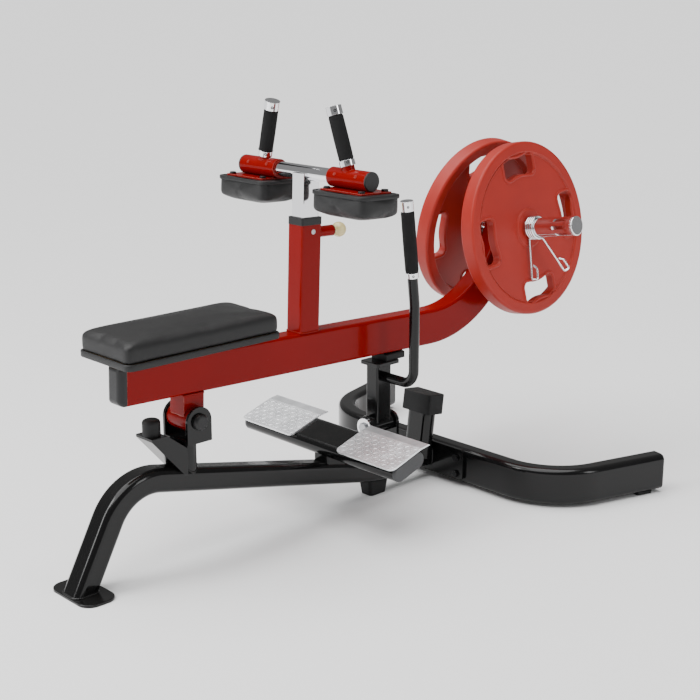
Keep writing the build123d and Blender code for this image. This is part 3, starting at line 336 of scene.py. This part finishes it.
for entry in record["subparts"]:
    node = frame["nodes"][entry["node"]]
    node.data.materials.clear()
    node.data.materials.append(materials[entry["material_slot"]])
print("materials placed:", len(materials))


mergeGap = 0.00002  # points nearer than this are one
steep = 0.9  # a direction nearer upright than this takes x as its guide, and any other takes z


# a CAD node's points, one row of x, y and z for each
def nodePoints(name):
    vertices = frame["nodes"][name].data.vertices
    points = np.empty(len(vertices) * 3)
    vertices.foreach_get("co", points)
    return points.reshape(-1, 3)


# puts points and faces into a new object, smooth or flat shaded, riding on a body with a slot's finish
def place(name, points, faces, body, slot, smooth=True):
    mesh = bpy.data.meshes.new(name)
    mesh.from_pydata(points.tolist(), [], faces.tolist() if hasattr(faces, "tolist") else faces)
    mesh.polygons.foreach_set("use_smooth", np.full(len(mesh.polygons), smooth))
    mesh.materials.append(materials[slot])
    piece = bpy.data.objects.new(name, mesh)
    bpy.context.scene.collection.objects.link(piece)
    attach(piece, body)
    return piece


# quads between neighbouring rows of a grid, wrapped round in the second direction
def gridFaces(rows, columns, closeRows=False):
    row = np.arange(rows if closeRows else rows - 1)[:, None]
    column = np.arange(columns)[None, :]
    nextRow = (row + 1) % rows
    nextColumn = (column + 1) % columns
    here, there = row * columns, nextRow * columns
    corners = (here + column, here + nextColumn, there + nextColumn, there + column)
    return np.stack(np.broadcast_arrays(*corners), axis=-1).reshape(-1, 4)


# a rounded rectangle about the origin, its points evenly spaced along its length
def roundedOutline(halfLength, halfWidth, corner, count, perCorner=12):
    turn = np.linspace(0, np.pi / 2, perCorner)
    centres = np.array([[1, 1], [-1, 1], [-1, -1], [1, -1]]) * [halfLength - corner, halfWidth - corner]
    angles = turn[None, :] + np.arange(4)[:, None] * np.pi / 2
    raw = centres[:, None, :] + corner * np.stack([np.cos(angles), np.sin(angles)], axis=-1)
    raw = raw.reshape(-1, 2)
    loop = np.vstack([raw, raw[:1]])
    length = np.concatenate([[0], np.cumsum(np.linalg.norm(np.diff(loop, axis=0), axis=1))])
    at = np.linspace(0, length[-1], count, endpoint=False)
    return np.stack([np.interp(at, length, loop[:, 0]), np.interp(at, length, loop[:, 1])], axis=-1)


# a tube along a closed path: a circle in the plane square to the path at each point
def tubeAlong(path, radius, sides):
    ahead = np.roll(path, -1, axis=0) - np.roll(path, 1, axis=0)
    ahead /= np.linalg.norm(ahead, axis=1, keepdims=True)
    guide = np.where(np.abs(ahead[:, 2:3]) < steep, np.array([[0.0, 0.0, 1.0]]), np.array([[1.0, 0.0, 0.0]]))
    sideways = np.cross(ahead, guide)
    sideways /= np.linalg.norm(sideways, axis=1, keepdims=True)
    upward = np.cross(sideways, ahead)
    angle = np.linspace(0, 2 * np.pi, sides, endpoint=False)[None, :, None]
    radius = np.broadcast_to(np.asarray(radius, float), (len(path),))[:, None, None]
    ring = sideways[:, None, :] * np.cos(angle) + upward[:, None, :] * np.sin(angle)
    points = path[:, None, :] + ring * radius
    return points.reshape(-1, 3), gridFaces(len(path), sides, closeRows=True)


# joins several (points, faces) shapes into one
def gather(shapes):
    points = np.vstack([shape[0] for shape in shapes])
    starts = np.cumsum([0] + [len(shape[0]) for shape in shapes[:-1]])
    faces = [[int(corner) + int(start) for corner in face]
             for start, shape in zip(starts, shapes) for face in shape[1]]
    return points, faces


# merges doubled points and turns every face outward
def tidyMesh(piece):
    bpy.context.view_layer.objects.active = piece
    piece.select_set(True)
    bpy.ops.object.mode_set(mode="EDIT")
    bpy.ops.mesh.select_all(action="SELECT")
    bpy.ops.mesh.remove_doubles(threshold=mergeGap)
    bpy.ops.mesh.normals_make_consistent(inside=False)
    bpy.ops.object.mode_set(mode="OBJECT")
    piece.select_set(False)


# a place on the arm: along the beam, across it and square to its top from the pivot, in metres
def armPoint(along, side, up):
    return pivot + armAlong * along + across * side + armUp * up


# the shell of every cushion before it swells: the height of its back and of its lowest edge, the shares of
# the outline at which its rings stand, and how a shoulder turns, as shares of its way in and of its way up
shell = dict(back=0.0006, heel=0.004, squat=0.8, centre=0.02, backRings=(0.02, 0.3, 0.6, 0.85), crownRings=16,
             turn=((0.0, 0.0), (0.08, 0.36), (0.28, 0.7), (0.62, 0.93), (1.0, 1.0)))


# a cushion: rings of a rounded outline drawn in and raised along a profile, closed by a crown whose
# height falls with a power of the way out from the middle
def cushionShell(outline, look):
    inset, shoulder, sideTop = look["inset"], look["shoulder"], look["side"]
    profile = [(inset, shell["back"]), (inset, shell["heel"])]
    profile += [(inset + shoulder * inward, sideTop + shoulder * shell["squat"] * upward)
                for inward, upward in shell["turn"]]
    reach = outline.max(axis=0)
    backEdge = outline * (1 - inset / reach)
    rows = [np.column_stack([backEdge * way, np.full(len(outline), shell["back"])])
            for way in shell["backRings"]]
    rows += [np.column_stack([outline * (1 - draw / reach), np.full(len(outline), height)])
             for draw, height in profile]
    edge = outline * (1 - profile[-1][0] / reach)
    for way in np.linspace(1, shell["centre"], shell["crownRings"])[1:]:
        height = profile[-1][1] + look["crown"] * (1 - way ** look["dome"])
        rows.append(np.column_stack([edge * way, np.full(len(edge), height)]))
    count = len(outline)
    faces = gridFaces(len(rows), count).tolist()
    faces.append(list(range(count))[::-1])
    faces.append(list(range((len(rows) - 1) * count, len(rows) * count)))
    return np.vstack(rows), faces


swelling = dict(stiffness=30, quality=4, frames=20, relax=0.5, relaxTimes=4)


# swells a closed piece by cloth pressure, holding how far each point may move, and keeps its back flat
def puff(piece, voxel, pressure, cap, back, outward):
    tidyMesh(piece)
    remesh = piece.modifiers.new("even", "REMESH")
    remesh.mode = "VOXEL"
    remesh.voxel_size = voxel
    bpy.context.view_layer.objects.active = piece
    bpy.ops.object.modifier_apply(modifier="even")
    count = len(piece.data.vertices)
    before = np.empty(count * 3)
    piece.data.vertices.foreach_get("co", before)
    cloth = piece.modifiers.new("swell", "CLOTH")
    cloth.settings.use_pressure = True
    cloth.settings.uniform_pressure_force = pressure
    cloth.settings.effector_weights.gravity = 0
    cloth.settings.tension_stiffness = swelling["stiffness"]
    cloth.settings.compression_stiffness = swelling["stiffness"]
    cloth.settings.quality = swelling["quality"]
    cloth.point_cache.frame_start = 1
    cloth.point_cache.frame_end = swelling["frames"]
    for step in range(1, swelling["frames"] + 1):
        bpy.context.scene.frame_set(step)
    solved = piece.evaluated_get(bpy.context.evaluated_depsgraph_get())
    after = np.empty(count * 3)
    solved.data.vertices.foreach_get("co", after)
    moved = (after - before).reshape(-1, 3)
    length = np.linalg.norm(moved, axis=1, keepdims=True)
    moved *= np.minimum(1, cap / np.maximum(length, 1e-9))
    piece.modifiers.remove(cloth)
    settled = before.reshape(-1, 3) + moved
    sunk = np.minimum((settled - back) @ outward, 0)[:, None]
    piece.data.vertices.foreach_set("co", (settled - sunk * outward).ravel())
    bpy.context.scene.frame_set(1)
    smooth = piece.modifiers.new("relax", "SMOOTH")
    smooth.factor = swelling["relax"]
    smooth.iterations = swelling["relaxTimes"]
    bpy.ops.object.modifier_apply(modifier="relax")
    fine = piece.modifiers.new("fine", "SUBSURF")
    fine.levels = 1
    fine.render_levels = 1
    piece.data.polygons.foreach_set("use_smooth", np.ones(len(piece.data.polygons), bool))


# turns local x, y, height points into the model's frame
def settle(points, origin, xAxis, yAxis, upAxis):
    return origin + points[:, :1] * xAxis + points[:, 1:2] * yAxis + points[:, 2:3] * upAxis


# the skirt's lip in section: how far out each corner stands, and its height from the lower or upper edge
skirtLip = dict(
    reach=0.003,
    lower=((-0.003, 0.0004), (0.0022, 0.0004), (0.003, 0.0016)),
    upper=((0.003, -0.0022), (0.0024, -0.0006), (0.0008, 0.0), (-0.003, -0.0012)),
)


# a skirt: the lip's closed section carried round the pad's rounded outline
def skirtBand(outline, below, above):
    lip = [(out, below + rise) for out, rise in skirtLip["lower"]]
    lip += [(out, above + rise) for out, rise in skirtLip["upper"]]
    reach = outline.max(axis=0)
    rows = [np.column_stack([outline * (1 + out / reach), np.full(len(outline), height)])
            for out, height in lip]
    return np.vstack(rows), gridFaces(len(rows), len(outline), closeRows=True)


# one padded piece with its skirt, made flat and then set on its plate
def upholster(name, body, origin, axes, half, look, count=200):
    halfLength, halfWidth = half - skirtLip["reach"]
    outline = roundedOutline(halfLength, halfWidth, look["corner"], count)
    points, faces = cushionShell(outline, look)
    cushion = place(name, settle(points, origin, *axes), faces, body, "vinyl")
    tidyMesh(cushion)
    puff(cushion, look["voxel"], look["pressure"], look["swell"], origin, axes[2])
    points, faces = skirtBand(outline, look["below"], look["seam"])
    skirt = place(name + "Skirt", settle(points, origin, *axes), faces, body, "vinyl")
    tidyMesh(skirt)
    return cushion


# a negative inset stands the cushion out over its skirt's line
seat = dict(cover=0.0032, corner=0.017, inset=-0.0036, side=0.031, shoulder=0.011, crown=0.011, dome=2.6,
            below=-0.012, seam=0.0025, voxel=0.005, pressure=4.0, swell=0.005)
low, high = (np.array(corner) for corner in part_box("seat_board"))
low[:2] -= seat["cover"]
high[:2] += seat["cover"]
seatOrigin = np.array([(low[0] + high[0]) / 2, 0.0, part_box("seat_cushion")[0][2]])
seatCushion = upholster("seatCushion", "arm", seatOrigin, np.eye(3), (high - low)[:2] / 2, seat)
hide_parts("seat_cushion")
print("seat made")

pad = dict(corner=0.022, inset=-0.0012, side=0.039, shoulder=0.011, crown=0.008, dome=2.4, below=0.0,
           seam=0.0095, voxel=0.004, pressure=4.0, swell=0.003)
padPoints = nodePoints("thigh_pads")
for side, label in ((-1, "Right"), (1, "Left")):
    mine = padPoints[padPoints[:, 1] * side > 0]
    local = np.column_stack([(mine - pivot) @ armAlong, mine[:, 1], (mine - pivot) @ armUp])
    lowest, highest = local.min(axis=0), local.max(axis=0)
    centre = (lowest + highest) / 2
    origin = armPoint(centre[0], centre[1], highest[2])
    axes = (armAlong, across, -armUp)
    half = (highest - lowest)[:2] / 2
    upholster("thighPad" + label, "thigh_carriage", origin, axes, half, pad)
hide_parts("thigh_pads")
print("thigh pads made")


# the axis of a straight round part: its points' middle and longest direction, with its two ends
def roundAxis(points):
    centre = (points.max(axis=0) + points.min(axis=0)) / 2
    direction = np.linalg.svd(points - points.mean(axis=0), full_matrices=False)[2][0]
    direction *= np.sign(direction[2])
    run = (points - centre) @ direction
    return centre + direction * run.min(), centre + direction * run.max(), direction


# a turned piece: a radius profile spun about an axis between two ends
def turned(start, end, stations, radii, sides=40):
    direction = (end - start) / np.linalg.norm(end - start)
    guide = np.array([0.0, 1.0, 0.0])
    first = np.cross(direction, guide)
    first /= np.linalg.norm(first)
    second = np.cross(direction, first)
    angle = np.linspace(0, 2 * np.pi, sides, endpoint=False)[None, :, None]
    centre = start + (end - start) * np.asarray(stations)[:, None]
    ring = first * np.cos(angle) + second * np.sin(angle)
    points = centre[:, None, :] + ring * np.asarray(radii)[:, None, None]
    return points.reshape(-1, 3), gridFaces(len(stations), sides, closeRows=True)


# shares of a grip's outer radius and of its length
gripShape = dict(ends=0.955, barrel=0.045, lip=0.03, lipAt=0.03, lipWidth=0.02, mouth=0.6, margin=0.001)


# foam grip profile: a lip at both ends as a bell curve, a faint barrel between as the root of a sine, held
# under the outer radius, and a bore that fits the tube
def gripProfile(outer, bore, count=24):
    way = np.linspace(0, 1, count)
    barrel = outer * (gripShape["ends"] + gripShape["barrel"] * np.sin(np.pi * way) ** 0.5)
    nearLip = np.exp(-((way - gripShape["lipAt"]) / gripShape["lipWidth"]) ** 2)
    farLip = np.exp(-((way - (1 - gripShape["lipAt"])) / gripShape["lipWidth"]) ** 2)
    radii = np.minimum(barrel + outer * gripShape["lip"] * (nearLip + farLip), outer)
    radii[0] = radii[-1] = bore + (outer - bore) * gripShape["mouth"]
    margin = gripShape["margin"]
    stations = np.concatenate([[0.0], way * (1 - 2 * margin) + margin, [1.0]])
    radii = np.concatenate([[bore], radii, [bore]])
    return stations, radii


grips = dict(
    handle_grips=dict(body="thigh_carriage", outer=0.017, bore=0.0126),
    lever_grip=dict(body="catch", outer=0.0165, bore=0.0126),
)
for nodeName, grip in grips.items():
    gripPoints = nodePoints(nodeName)
    groups = [gripPoints[gripPoints[:, 1] * side > 0] for side in (-1, 1)]
    shapes = []
    for group in filter(len, groups):
        start, end, direction = roundAxis(group)
        stations, radii = gripProfile(grip["outer"], grip["bore"])
        shapes.append(turned(start, end, stations, radii))
    points, faces = gather(shapes)
    piece = place("foam_" + nodeName, points, faces, grip["body"], "grip_foam")
    tidyMesh(piece)
    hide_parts(nodeName)
print("grips made")


weld = dict(radius=0.0026, legRadius=0.0032, ripple=0.0045, depth=0.14, sides=8)


# a weld bead: a thin tube whose radius swings by a share of itself, as a sine's size along its length
def bead(path, radius=weld["radius"]):
    step = np.linalg.norm(np.roll(path, -1, axis=0) - path, axis=1)
    length = np.concatenate([[0], np.cumsum(step)[:-1]])
    swing = np.abs(np.sin(np.pi * length / weld["ripple"]))
    return tubeAlong(path, radius * (1 - weld["depth"] + weld["depth"] * swing), weld["sides"])


# a rounded rectangle laid in the plane of two directions
def loopIn(origin, first, second, halfFirst, halfSecond, corner, count=220):
    flat = roundedOutline(halfFirst, halfSecond, corner, count)
    return origin + flat[:, :1] * first + flat[:, 1:2] * second


beam = dict(under=0.059, top=0.149, halfWidth=0.026)
arm = dict(uprightAt=0.3375, uprightHalf=(0.03, 0.025), uprightCorner=0.005,
           gussetHalf=(0.027, 0.025), gussetCorner=0.002, beadGap=0.0008)
hornFlange = dict(gap=0.0006, lift=0.0043, half=(0.0255, 0.0258), corner=0.0255, count=160)
hornAxis = {side: np.array(joints["plate_slide_" + side]["axis"]) for side in ("right", "left")}
hornMiddle = np.array([0.57636, 0.0, 0.61985])
uprightFoot = armPoint(arm["uprightAt"], 0, beam["top"] + arm["beadGap"])
gussetHead = armPoint(0, 0, beam["under"] - arm["beadGap"])
armBeads = [
    bead(loopIn(uprightFoot, armAlong, across, *arm["uprightHalf"], arm["uprightCorner"])),
    bead(loopIn(gussetHead, armAlong, across, *arm["gussetHalf"], arm["gussetCorner"])),
]
for side in (-1, 1):
    centre = hornMiddle + across * side * (beam["halfWidth"] + hornFlange["gap"]) + armUp * hornFlange["lift"]
    loop = loopIn(centre, armAlong, armUp, *hornFlange["half"], hornFlange["corner"], hornFlange["count"])
    armBeads.append(bead(loop))
points, faces = gather(armBeads)
place("armWelds", points, faces, "arm", "red_arm")

# the base tube falls toward the rear; slant is its upright depth over its square one
base = dict(width=0.06, height=0.055, corner=0.015, fall=0.2236, slant=1.0247, bendX=-0.6495, bendZ=0.2288)
frameSeam = dict(postHalf=(0.0218, 0.029), postCorner=0.021, postGap=0.0012, flangeGap=0.0008, flangeZ=0.06,
                 flangeHalf=(0.0302, 0.0277), legX=-0.7676, legHalf=(0.0302, 0.0302), legGap=0.0006)
postLow, postHigh = (np.array(corner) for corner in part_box("pivot_post"))
postMiddle = (postLow + postHigh) / 2
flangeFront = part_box("rear_flange")[0][0]
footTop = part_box("front_foot_plate")[1][2]
ahead, up = np.array([1.0, 0, 0]), np.array([0, 0, 1.0])


# height of the base tube's upper surface: a flat that falls evenly from its bend, less the drop of the
# quarter circle at each shoulder
def tubeTop(points):
    over = np.maximum(np.abs(points[:, 1]) - (base["width"] / 2 - base["corner"]), 0)
    over = np.minimum(over, base["corner"] * 0.98)  # stops short of the side wall
    drop = base["corner"] - np.sqrt(base["corner"] ** 2 - over**2)
    centreTop = base["bendZ"] + base["height"] / 2 * base["slant"]
    return centreTop - base["fall"] * (points[:, 0] - base["bendX"]) - drop


postLoop = loopIn(ahead * postMiddle[0], ahead, across, *frameSeam["postHalf"], frameSeam["postCorner"])
postLoop[:, 2] = tubeTop(postLoop) + frameSeam["postGap"]
flangeAt = np.array([flangeFront - frameSeam["flangeGap"], 0, frameSeam["flangeZ"]])
flangeLoop = loopIn(flangeAt, across, up, *frameSeam["flangeHalf"], base["corner"])
legAt = np.array([frameSeam["legX"], 0, footTop + frameSeam["legGap"]])
legLoop = loopIn(legAt, ahead, across, *frameSeam["legHalf"], base["corner"])
points, faces = gather([bead(postLoop), bead(flangeLoop), bead(legLoop, weld["legRadius"])])
place("frameWelds", points, faces, "frame", "black_frame")
print("welds made")


# an hourglass outline: a rounded slot whose long sides draw in toward the middle as a bell curve
def hourglass(halfLength, halfWidth, waist, corner, drawn, count=160):
    outline = roundedOutline(halfLength, halfWidth, corner, count)
    pull = 1 - (1 - waist / halfWidth) * np.exp(-((outline[:, 0] / (halfLength * drawn)) ** 2))
    outline[:, 1] *= pull
    return outline


# drawn is the share of the hole's half length that its waist takes
gripHole = dict(count=4, circle=0.163, length=0.117, width=0.057, waist=0.043, corner=0.019, drawn=0.52,
                turn=9.0, lip=0.0042, sink=0.0012, sides=12)
plateFace = dict(outer=0.0948, inner=0.0748, beads=(0.1915, 0.0515), beadRadius=0.0013, beadSides=8,
                 count=240)
for side in ("right", "left"):
    outward = hornAxis[side]
    rise = armUp - outward * (armUp @ outward)
    rise /= np.linalg.norm(rise)
    shapes = []
    for face, sign in ((plateFace["outer"], 1), (plateFace["inner"], -1)):
        for step in range(gripHole["count"]):
            angle = radians(gripHole["turn"] + 360 / gripHole["count"] * step)
            radial = armAlong * np.cos(angle) + rise * np.sin(angle)
            tangent = -armAlong * np.sin(angle) + rise * np.cos(angle)
            spare = gripHole["lip"]
            flat = hourglass(gripHole["length"] / 2 + spare, gripHole["width"] / 2 + spare,
                             gripHole["waist"] / 2 + spare, gripHole["corner"], gripHole["drawn"])
            centre = hornMiddle + outward * (face - sign * gripHole["sink"]) + radial * gripHole["circle"]
            path = centre + flat[:, :1] * tangent + flat[:, 1:2] * radial
            shapes.append(tubeAlong(path, gripHole["lip"], gripHole["sides"]))
    turnAngle = np.linspace(0, 2 * np.pi, plateFace["count"], endpoint=False)[:, None]
    circle = armAlong * np.cos(turnAngle) + rise * np.sin(turnAngle)
    for radius in plateFace["beads"]:
        path = hornMiddle + outward * plateFace["outer"] + circle * radius
        shapes.append(tubeAlong(path, plateFace["beadRadius"], plateFace["beadSides"]))
    points, faces = gather(shapes)
    lips = place("plateLips_" + side, points, faces, "plate_" + side, "red_plate")
    tidyMesh(lips)
print("plate lips made")


bar = dict(length=0.0125, width=0.0034, height=0.0008, sink=0.0003, rings=(1.0, 0.8, 0.45), sides=12)


# a raised bar: rings of a half ellipsoid, each as high as the root of one less its own share's square
def barShape():
    angle = np.linspace(0, 2 * np.pi, bar["sides"], endpoint=False)
    rings = np.array(bar["rings"])
    x = bar["length"] / 2 * rings[:, None] * np.cos(angle)
    y = bar["width"] / 2 * rings[:, None] * np.sin(angle)
    z = np.broadcast_to(bar["height"] * np.sqrt(1 - rings**2)[:, None] - bar["sink"], x.shape)
    return np.stack([x, y, z], axis=-1).reshape(-1, 3), gridFaces(len(rings), bar["sides"])


# the bars stand in a grid, turned an eighth of a circle to one side and the other by turns
treads = dict(origin=(-0.0465, 0.0, 0.176), tilt=18.0, top=0.0245, front=-0.054, bend=0.047,
              inner=0.078, outer=0.27, pitch=0.0135)
slope = radians(treads["tilt"])
treadAlong = np.array([np.cos(slope), 0, np.sin(slope)])
treadUp = np.array([-np.sin(slope), 0, np.cos(slope)])
barPoints, barFaces = barShape()
barX, barY, barZ = barPoints.T[:, None, :]
alongCount = int((treads["bend"] - treads["front"]) / treads["pitch"])
acrossCount = int((treads["outer"] - treads["inner"]) / treads["pitch"])
rowAt, columnAt = np.divmod(np.arange(alongCount * acrossCount), acrossCount)
alongAt = (treads["front"] + treads["bend"]) / 2 + (rowAt - (alongCount - 1) / 2) * treads["pitch"]
acrossAt = (treads["inner"] + treads["outer"]) / 2 + (columnAt - (acrossCount - 1) / 2) * treads["pitch"]
turn = np.where((rowAt + columnAt) % 2, 1, -1)[:, None] * np.pi / 4
x = barX * np.cos(turn) - barY * np.sin(turn) + alongAt[:, None]
y = barX * np.sin(turn) + barY * np.cos(turn) + acrossAt[:, None]
z = np.broadcast_to(barZ + treads["top"], x.shape)
flat = np.stack([x, y, z], axis=-1).reshape(-1, 3)
starts = np.arange(len(rowAt))[:, None] * len(barPoints)
topRing = np.arange((len(bar["rings"]) - 1) * bar["sides"], len(bar["rings"]) * bar["sides"])
underside = np.arange(bar["sides"])[::-1]
faces = (barFaces[None] + starts[:, :, None]).reshape(-1, 4).tolist()
faces += (starts + topRing).tolist() + (starts + underside).tolist()
shapes = []
for side in (-1, 1):
    onTread = flat[:, :1] * treadAlong + flat[:, 1:2] * across * side + flat[:, 2:] * treadUp
    shapes.append((np.array(treads["origin"]) + onTread, faces))
points, faces = gather(shapes)
treadBars = place("treadBars", points, faces, "frame", "tread")
tidyMesh(treadBars)
print("tread bars made")


# rim gives shares of a screw's radius and height; the socket is a hexagon, deep to a share of the height
screwHead = dict(sides=24, rim=((1.0, 0.0), (1.0, 0.7), (0.86, 1.0)), socket=0.5, floor=0.15)


# a socket screw's head: rings of a disc with a bevelled rim, and a hexagon whose reach is its flat's
# distance over the cosine of the angle from it; its base is left open
def socketScrew(centre, normal, radius, height):
    normal = normal / np.linalg.norm(normal)
    guide = np.array([0.0, 0.0, 1.0]) if abs(normal[2]) < steep else np.array([1.0, 0.0, 0.0])
    first = np.cross(normal, guide)
    first /= np.linalg.norm(first)
    second = np.cross(normal, first)
    sides = screwHead["sides"]
    angle = np.linspace(0, 2 * np.pi, sides, endpoint=False)
    sector = np.mod(angle, np.pi / 3) - np.pi / 6
    hexagon = screwHead["socket"] * radius * np.cos(np.pi / 6) / np.cos(sector)
    rings = [(np.full(sides, radius * out), rise) for out, rise in screwHead["rim"]]
    rings += [(hexagon, 1.0), (hexagon, screwHead["floor"])]
    points = [centre + normal * (rise * height) + first * (out * np.cos(angle))[:, None]
              + second * (out * np.sin(angle))[:, None] for out, rise in rings]
    faces = gridFaces(len(rings), sides).tolist()
    faces.append(list(range((len(rings) - 1) * sides, len(rings) * sides)))
    return np.vstack(points), faces


# the screws of one ferruled tube: one at a distance from each end, on the side that looks forward and right
def ferruleScrews(tubePoints, screw):
    start, end, direction = roundAxis(tubePoints)
    forwardRight = np.array([-0.6, -0.8, 0.0])
    outward = forwardRight - direction * (forwardRight @ direction)
    outward /= np.linalg.norm(outward)
    stations = (screw["fromStart"], np.linalg.norm(end - start) - screw["fromEnd"])
    middles = [start + direction * station + outward * screw["out"] for station in stations]
    return [socketScrew(middle, outward, screw["radius"], screw["height"]) for middle in middles]


handleScrew = dict(fromStart=0.008, fromEnd=0.011, out=0.0176, radius=0.0034, height=0.0016)
ferrulePoints = nodePoints("handle_ferrules")
shapes = []
for side in (-1, 1):
    shapes += ferruleScrews(ferrulePoints[ferrulePoints[:, 1] * side > 0], handleScrew)
points, faces = gather(shapes)
place("handleScrews", points, faces, "thigh_carriage", "black_bolt", smooth=False)

leverScrew = dict(fromStart=0.0065, fromEnd=0.012, out=0.0151, radius=0.003, height=0.0015)
points, faces = gather(ferruleScrews(nodePoints("lever_ferrules"), leverScrew))
place("leverScrews", points, faces, "catch", "black_bolt", smooth=False)

setScrew = dict(forward=0.004, side=-0.0249, above=0.236, radius=0.006, height=0.0012)
screwAt = armPoint(arm["uprightAt"] + setScrew["forward"], setScrew["side"], beam["top"] + setScrew["above"])
points, faces = socketScrew(screwAt, -across, setScrew["radius"], setScrew["height"])
place("uprightScrew", points, faces, "arm", "steel", smooth=False)

# the plugs look forward and up from the pad sleeves, lift degrees above the beam's line
plug = dict(up=0.519, sleeve=0.0219, sides=(0.116, 0.183), lift=24.0, radius=0.0042, height=0.001)
facing = -armAlong * np.cos(radians(plug["lift"])) + armUp * np.sin(radians(plug["lift"]))
shapes = []
for side in (-1, 1):
    for sideways in plug["sides"]:
        onSleeve = armPoint(arm["uprightAt"], side * sideways, plug["up"]) + facing * plug["sleeve"]
        shapes.append(socketScrew(onSleeve, facing, plug["radius"], plug["height"]))
points, faces = gather(shapes)
place("sleevePlugs", points, faces, "thigh_carriage", "red_arm", smooth=False)

# a rubber ring round the mouth of the pop pin's boss
ring = dict(radius=0.0112, thickness=0.0021, mouth=0.002, count=60, sides=10)
bossPoints = nodePoints("pop_pin_boss")
bossAlong, bossUp = (bossPoints - pivot) @ armAlong, (bossPoints - pivot) @ armUp
mouthUp = bossUp[bossAlong > bossAlong.max() - ring["mouth"]]
angle = np.linspace(0, 2 * np.pi, ring["count"], endpoint=False)[:, None]
ringCentre = armPoint(bossAlong.max(), 0, (mouthUp.max() + mouthUp.min()) / 2)
path = ringCentre + ring["radius"] * (across * np.cos(angle) + armUp * np.sin(angle))
points, faces = tubeAlong(path, ring["thickness"], ring["sides"])
bossRing = place("bossRing", points, faces, "arm", "black_rubber")
tidyMesh(bossRing)
print("screws made")


# world is the light that the backdrop gives the machine, and backdrop how bright it looks itself
studio = dict(
    floorSize=240.0, floorTone=0.9, floorRough=0.75, world=0.26, backdrop=1.75,
    sky=4.6, skySpread=70, skyTilt=(-8, -14), target=(0.0205, 0, 0.3905),
    cameraAt=(-2.1648, -2.3003, 1.2538), lens=69.46, sensor=36,
)
softBoxes = dict(
    keyLight=dict(at=(-3.4, 1.2, 2.2), size=(1.2, 2.4), power=90),
    fillLight=dict(at=(0.8, -3.6, 1.7), size=(0.8, 1.8), power=26),
)
floorHalf = studio["floorSize"] / 2
floorMesh = bpy.data.meshes.new("floor")
floorMesh.from_pydata([(-floorHalf, -floorHalf, 0), (floorHalf, -floorHalf, 0), (floorHalf, floorHalf, 0),
                       (-floorHalf, floorHalf, 0)], [], [(0, 1, 2, 3)])
floor = bpy.data.objects.new("floor", floorMesh)
bpy.context.scene.collection.objects.link(floor)
paper = bpy.data.materials.new("paperFloor")
paper.use_nodes = True
paperShader = paper.node_tree.nodes["Principled BSDF"]
tone = useGroup(paper.node_tree, toneGroup, Colour=(*[studio["floorTone"]] * 3, 1), Amount=0.01, Scale=2.0)
paper.node_tree.links.new(tone.outputs["Colour"], paperShader.inputs["Base Color"])
paperShader.inputs["Roughness"].default_value = studio["floorRough"]
floorMesh.materials.append(paper)

world = bpy.data.worlds.new("softWhite")
bpy.context.scene.world = world
world.use_nodes = True
backdrop = world.node_tree.nodes["Background"]
seen = world.node_tree.nodes.new("ShaderNodeLightPath")
strength = spread(world.node_tree, seen.outputs["Is Camera Ray"], studio["world"], studio["backdrop"])
backdrop.inputs["Color"].default_value = (1, 1, 1, 1)
world.node_tree.links.new(strength, backdrop.inputs["Strength"])


# a soft box light at a place, turned toward the machine
def softBox(name, at, size, power):
    light = bpy.data.lights.new(name, "AREA")
    light.shape = "RECTANGLE"
    light.size, light.size_y = size
    light.energy = power
    lamp = bpy.data.objects.new(name, light)
    bpy.context.scene.collection.objects.link(lamp)
    lamp.location = at
    lamp.rotation_euler = (Vector(studio["target"]) - Vector(at)).to_track_quat("-Z", "Y").to_euler()


for name, box in softBoxes.items():
    softBox(name, box["at"], box["size"], box["power"])
sky = bpy.data.lights.new("skyPanel", "SUN")
sky.energy = studio["sky"]
sky.angle = radians(studio["skySpread"])
skyPanel = bpy.data.objects.new("skyPanel", sky)
bpy.context.scene.collection.objects.link(skyPanel)
skyPanel.rotation_euler = (radians(studio["skyTilt"][0]), radians(studio["skyTilt"][1]), 0)

camera = bpy.data.objects.new("camera", bpy.data.cameras.new("camera"))
bpy.context.scene.collection.objects.link(camera)
camera.data.sensor_width = studio["sensor"]
camera.data.lens = studio["lens"]
camera.location = studio["cameraAt"]
camera.rotation_euler = (Vector(studio["target"]) - camera.location).to_track_quat("-Z", "Y").to_euler()
bpy.context.scene.camera = camera

print("scene done")
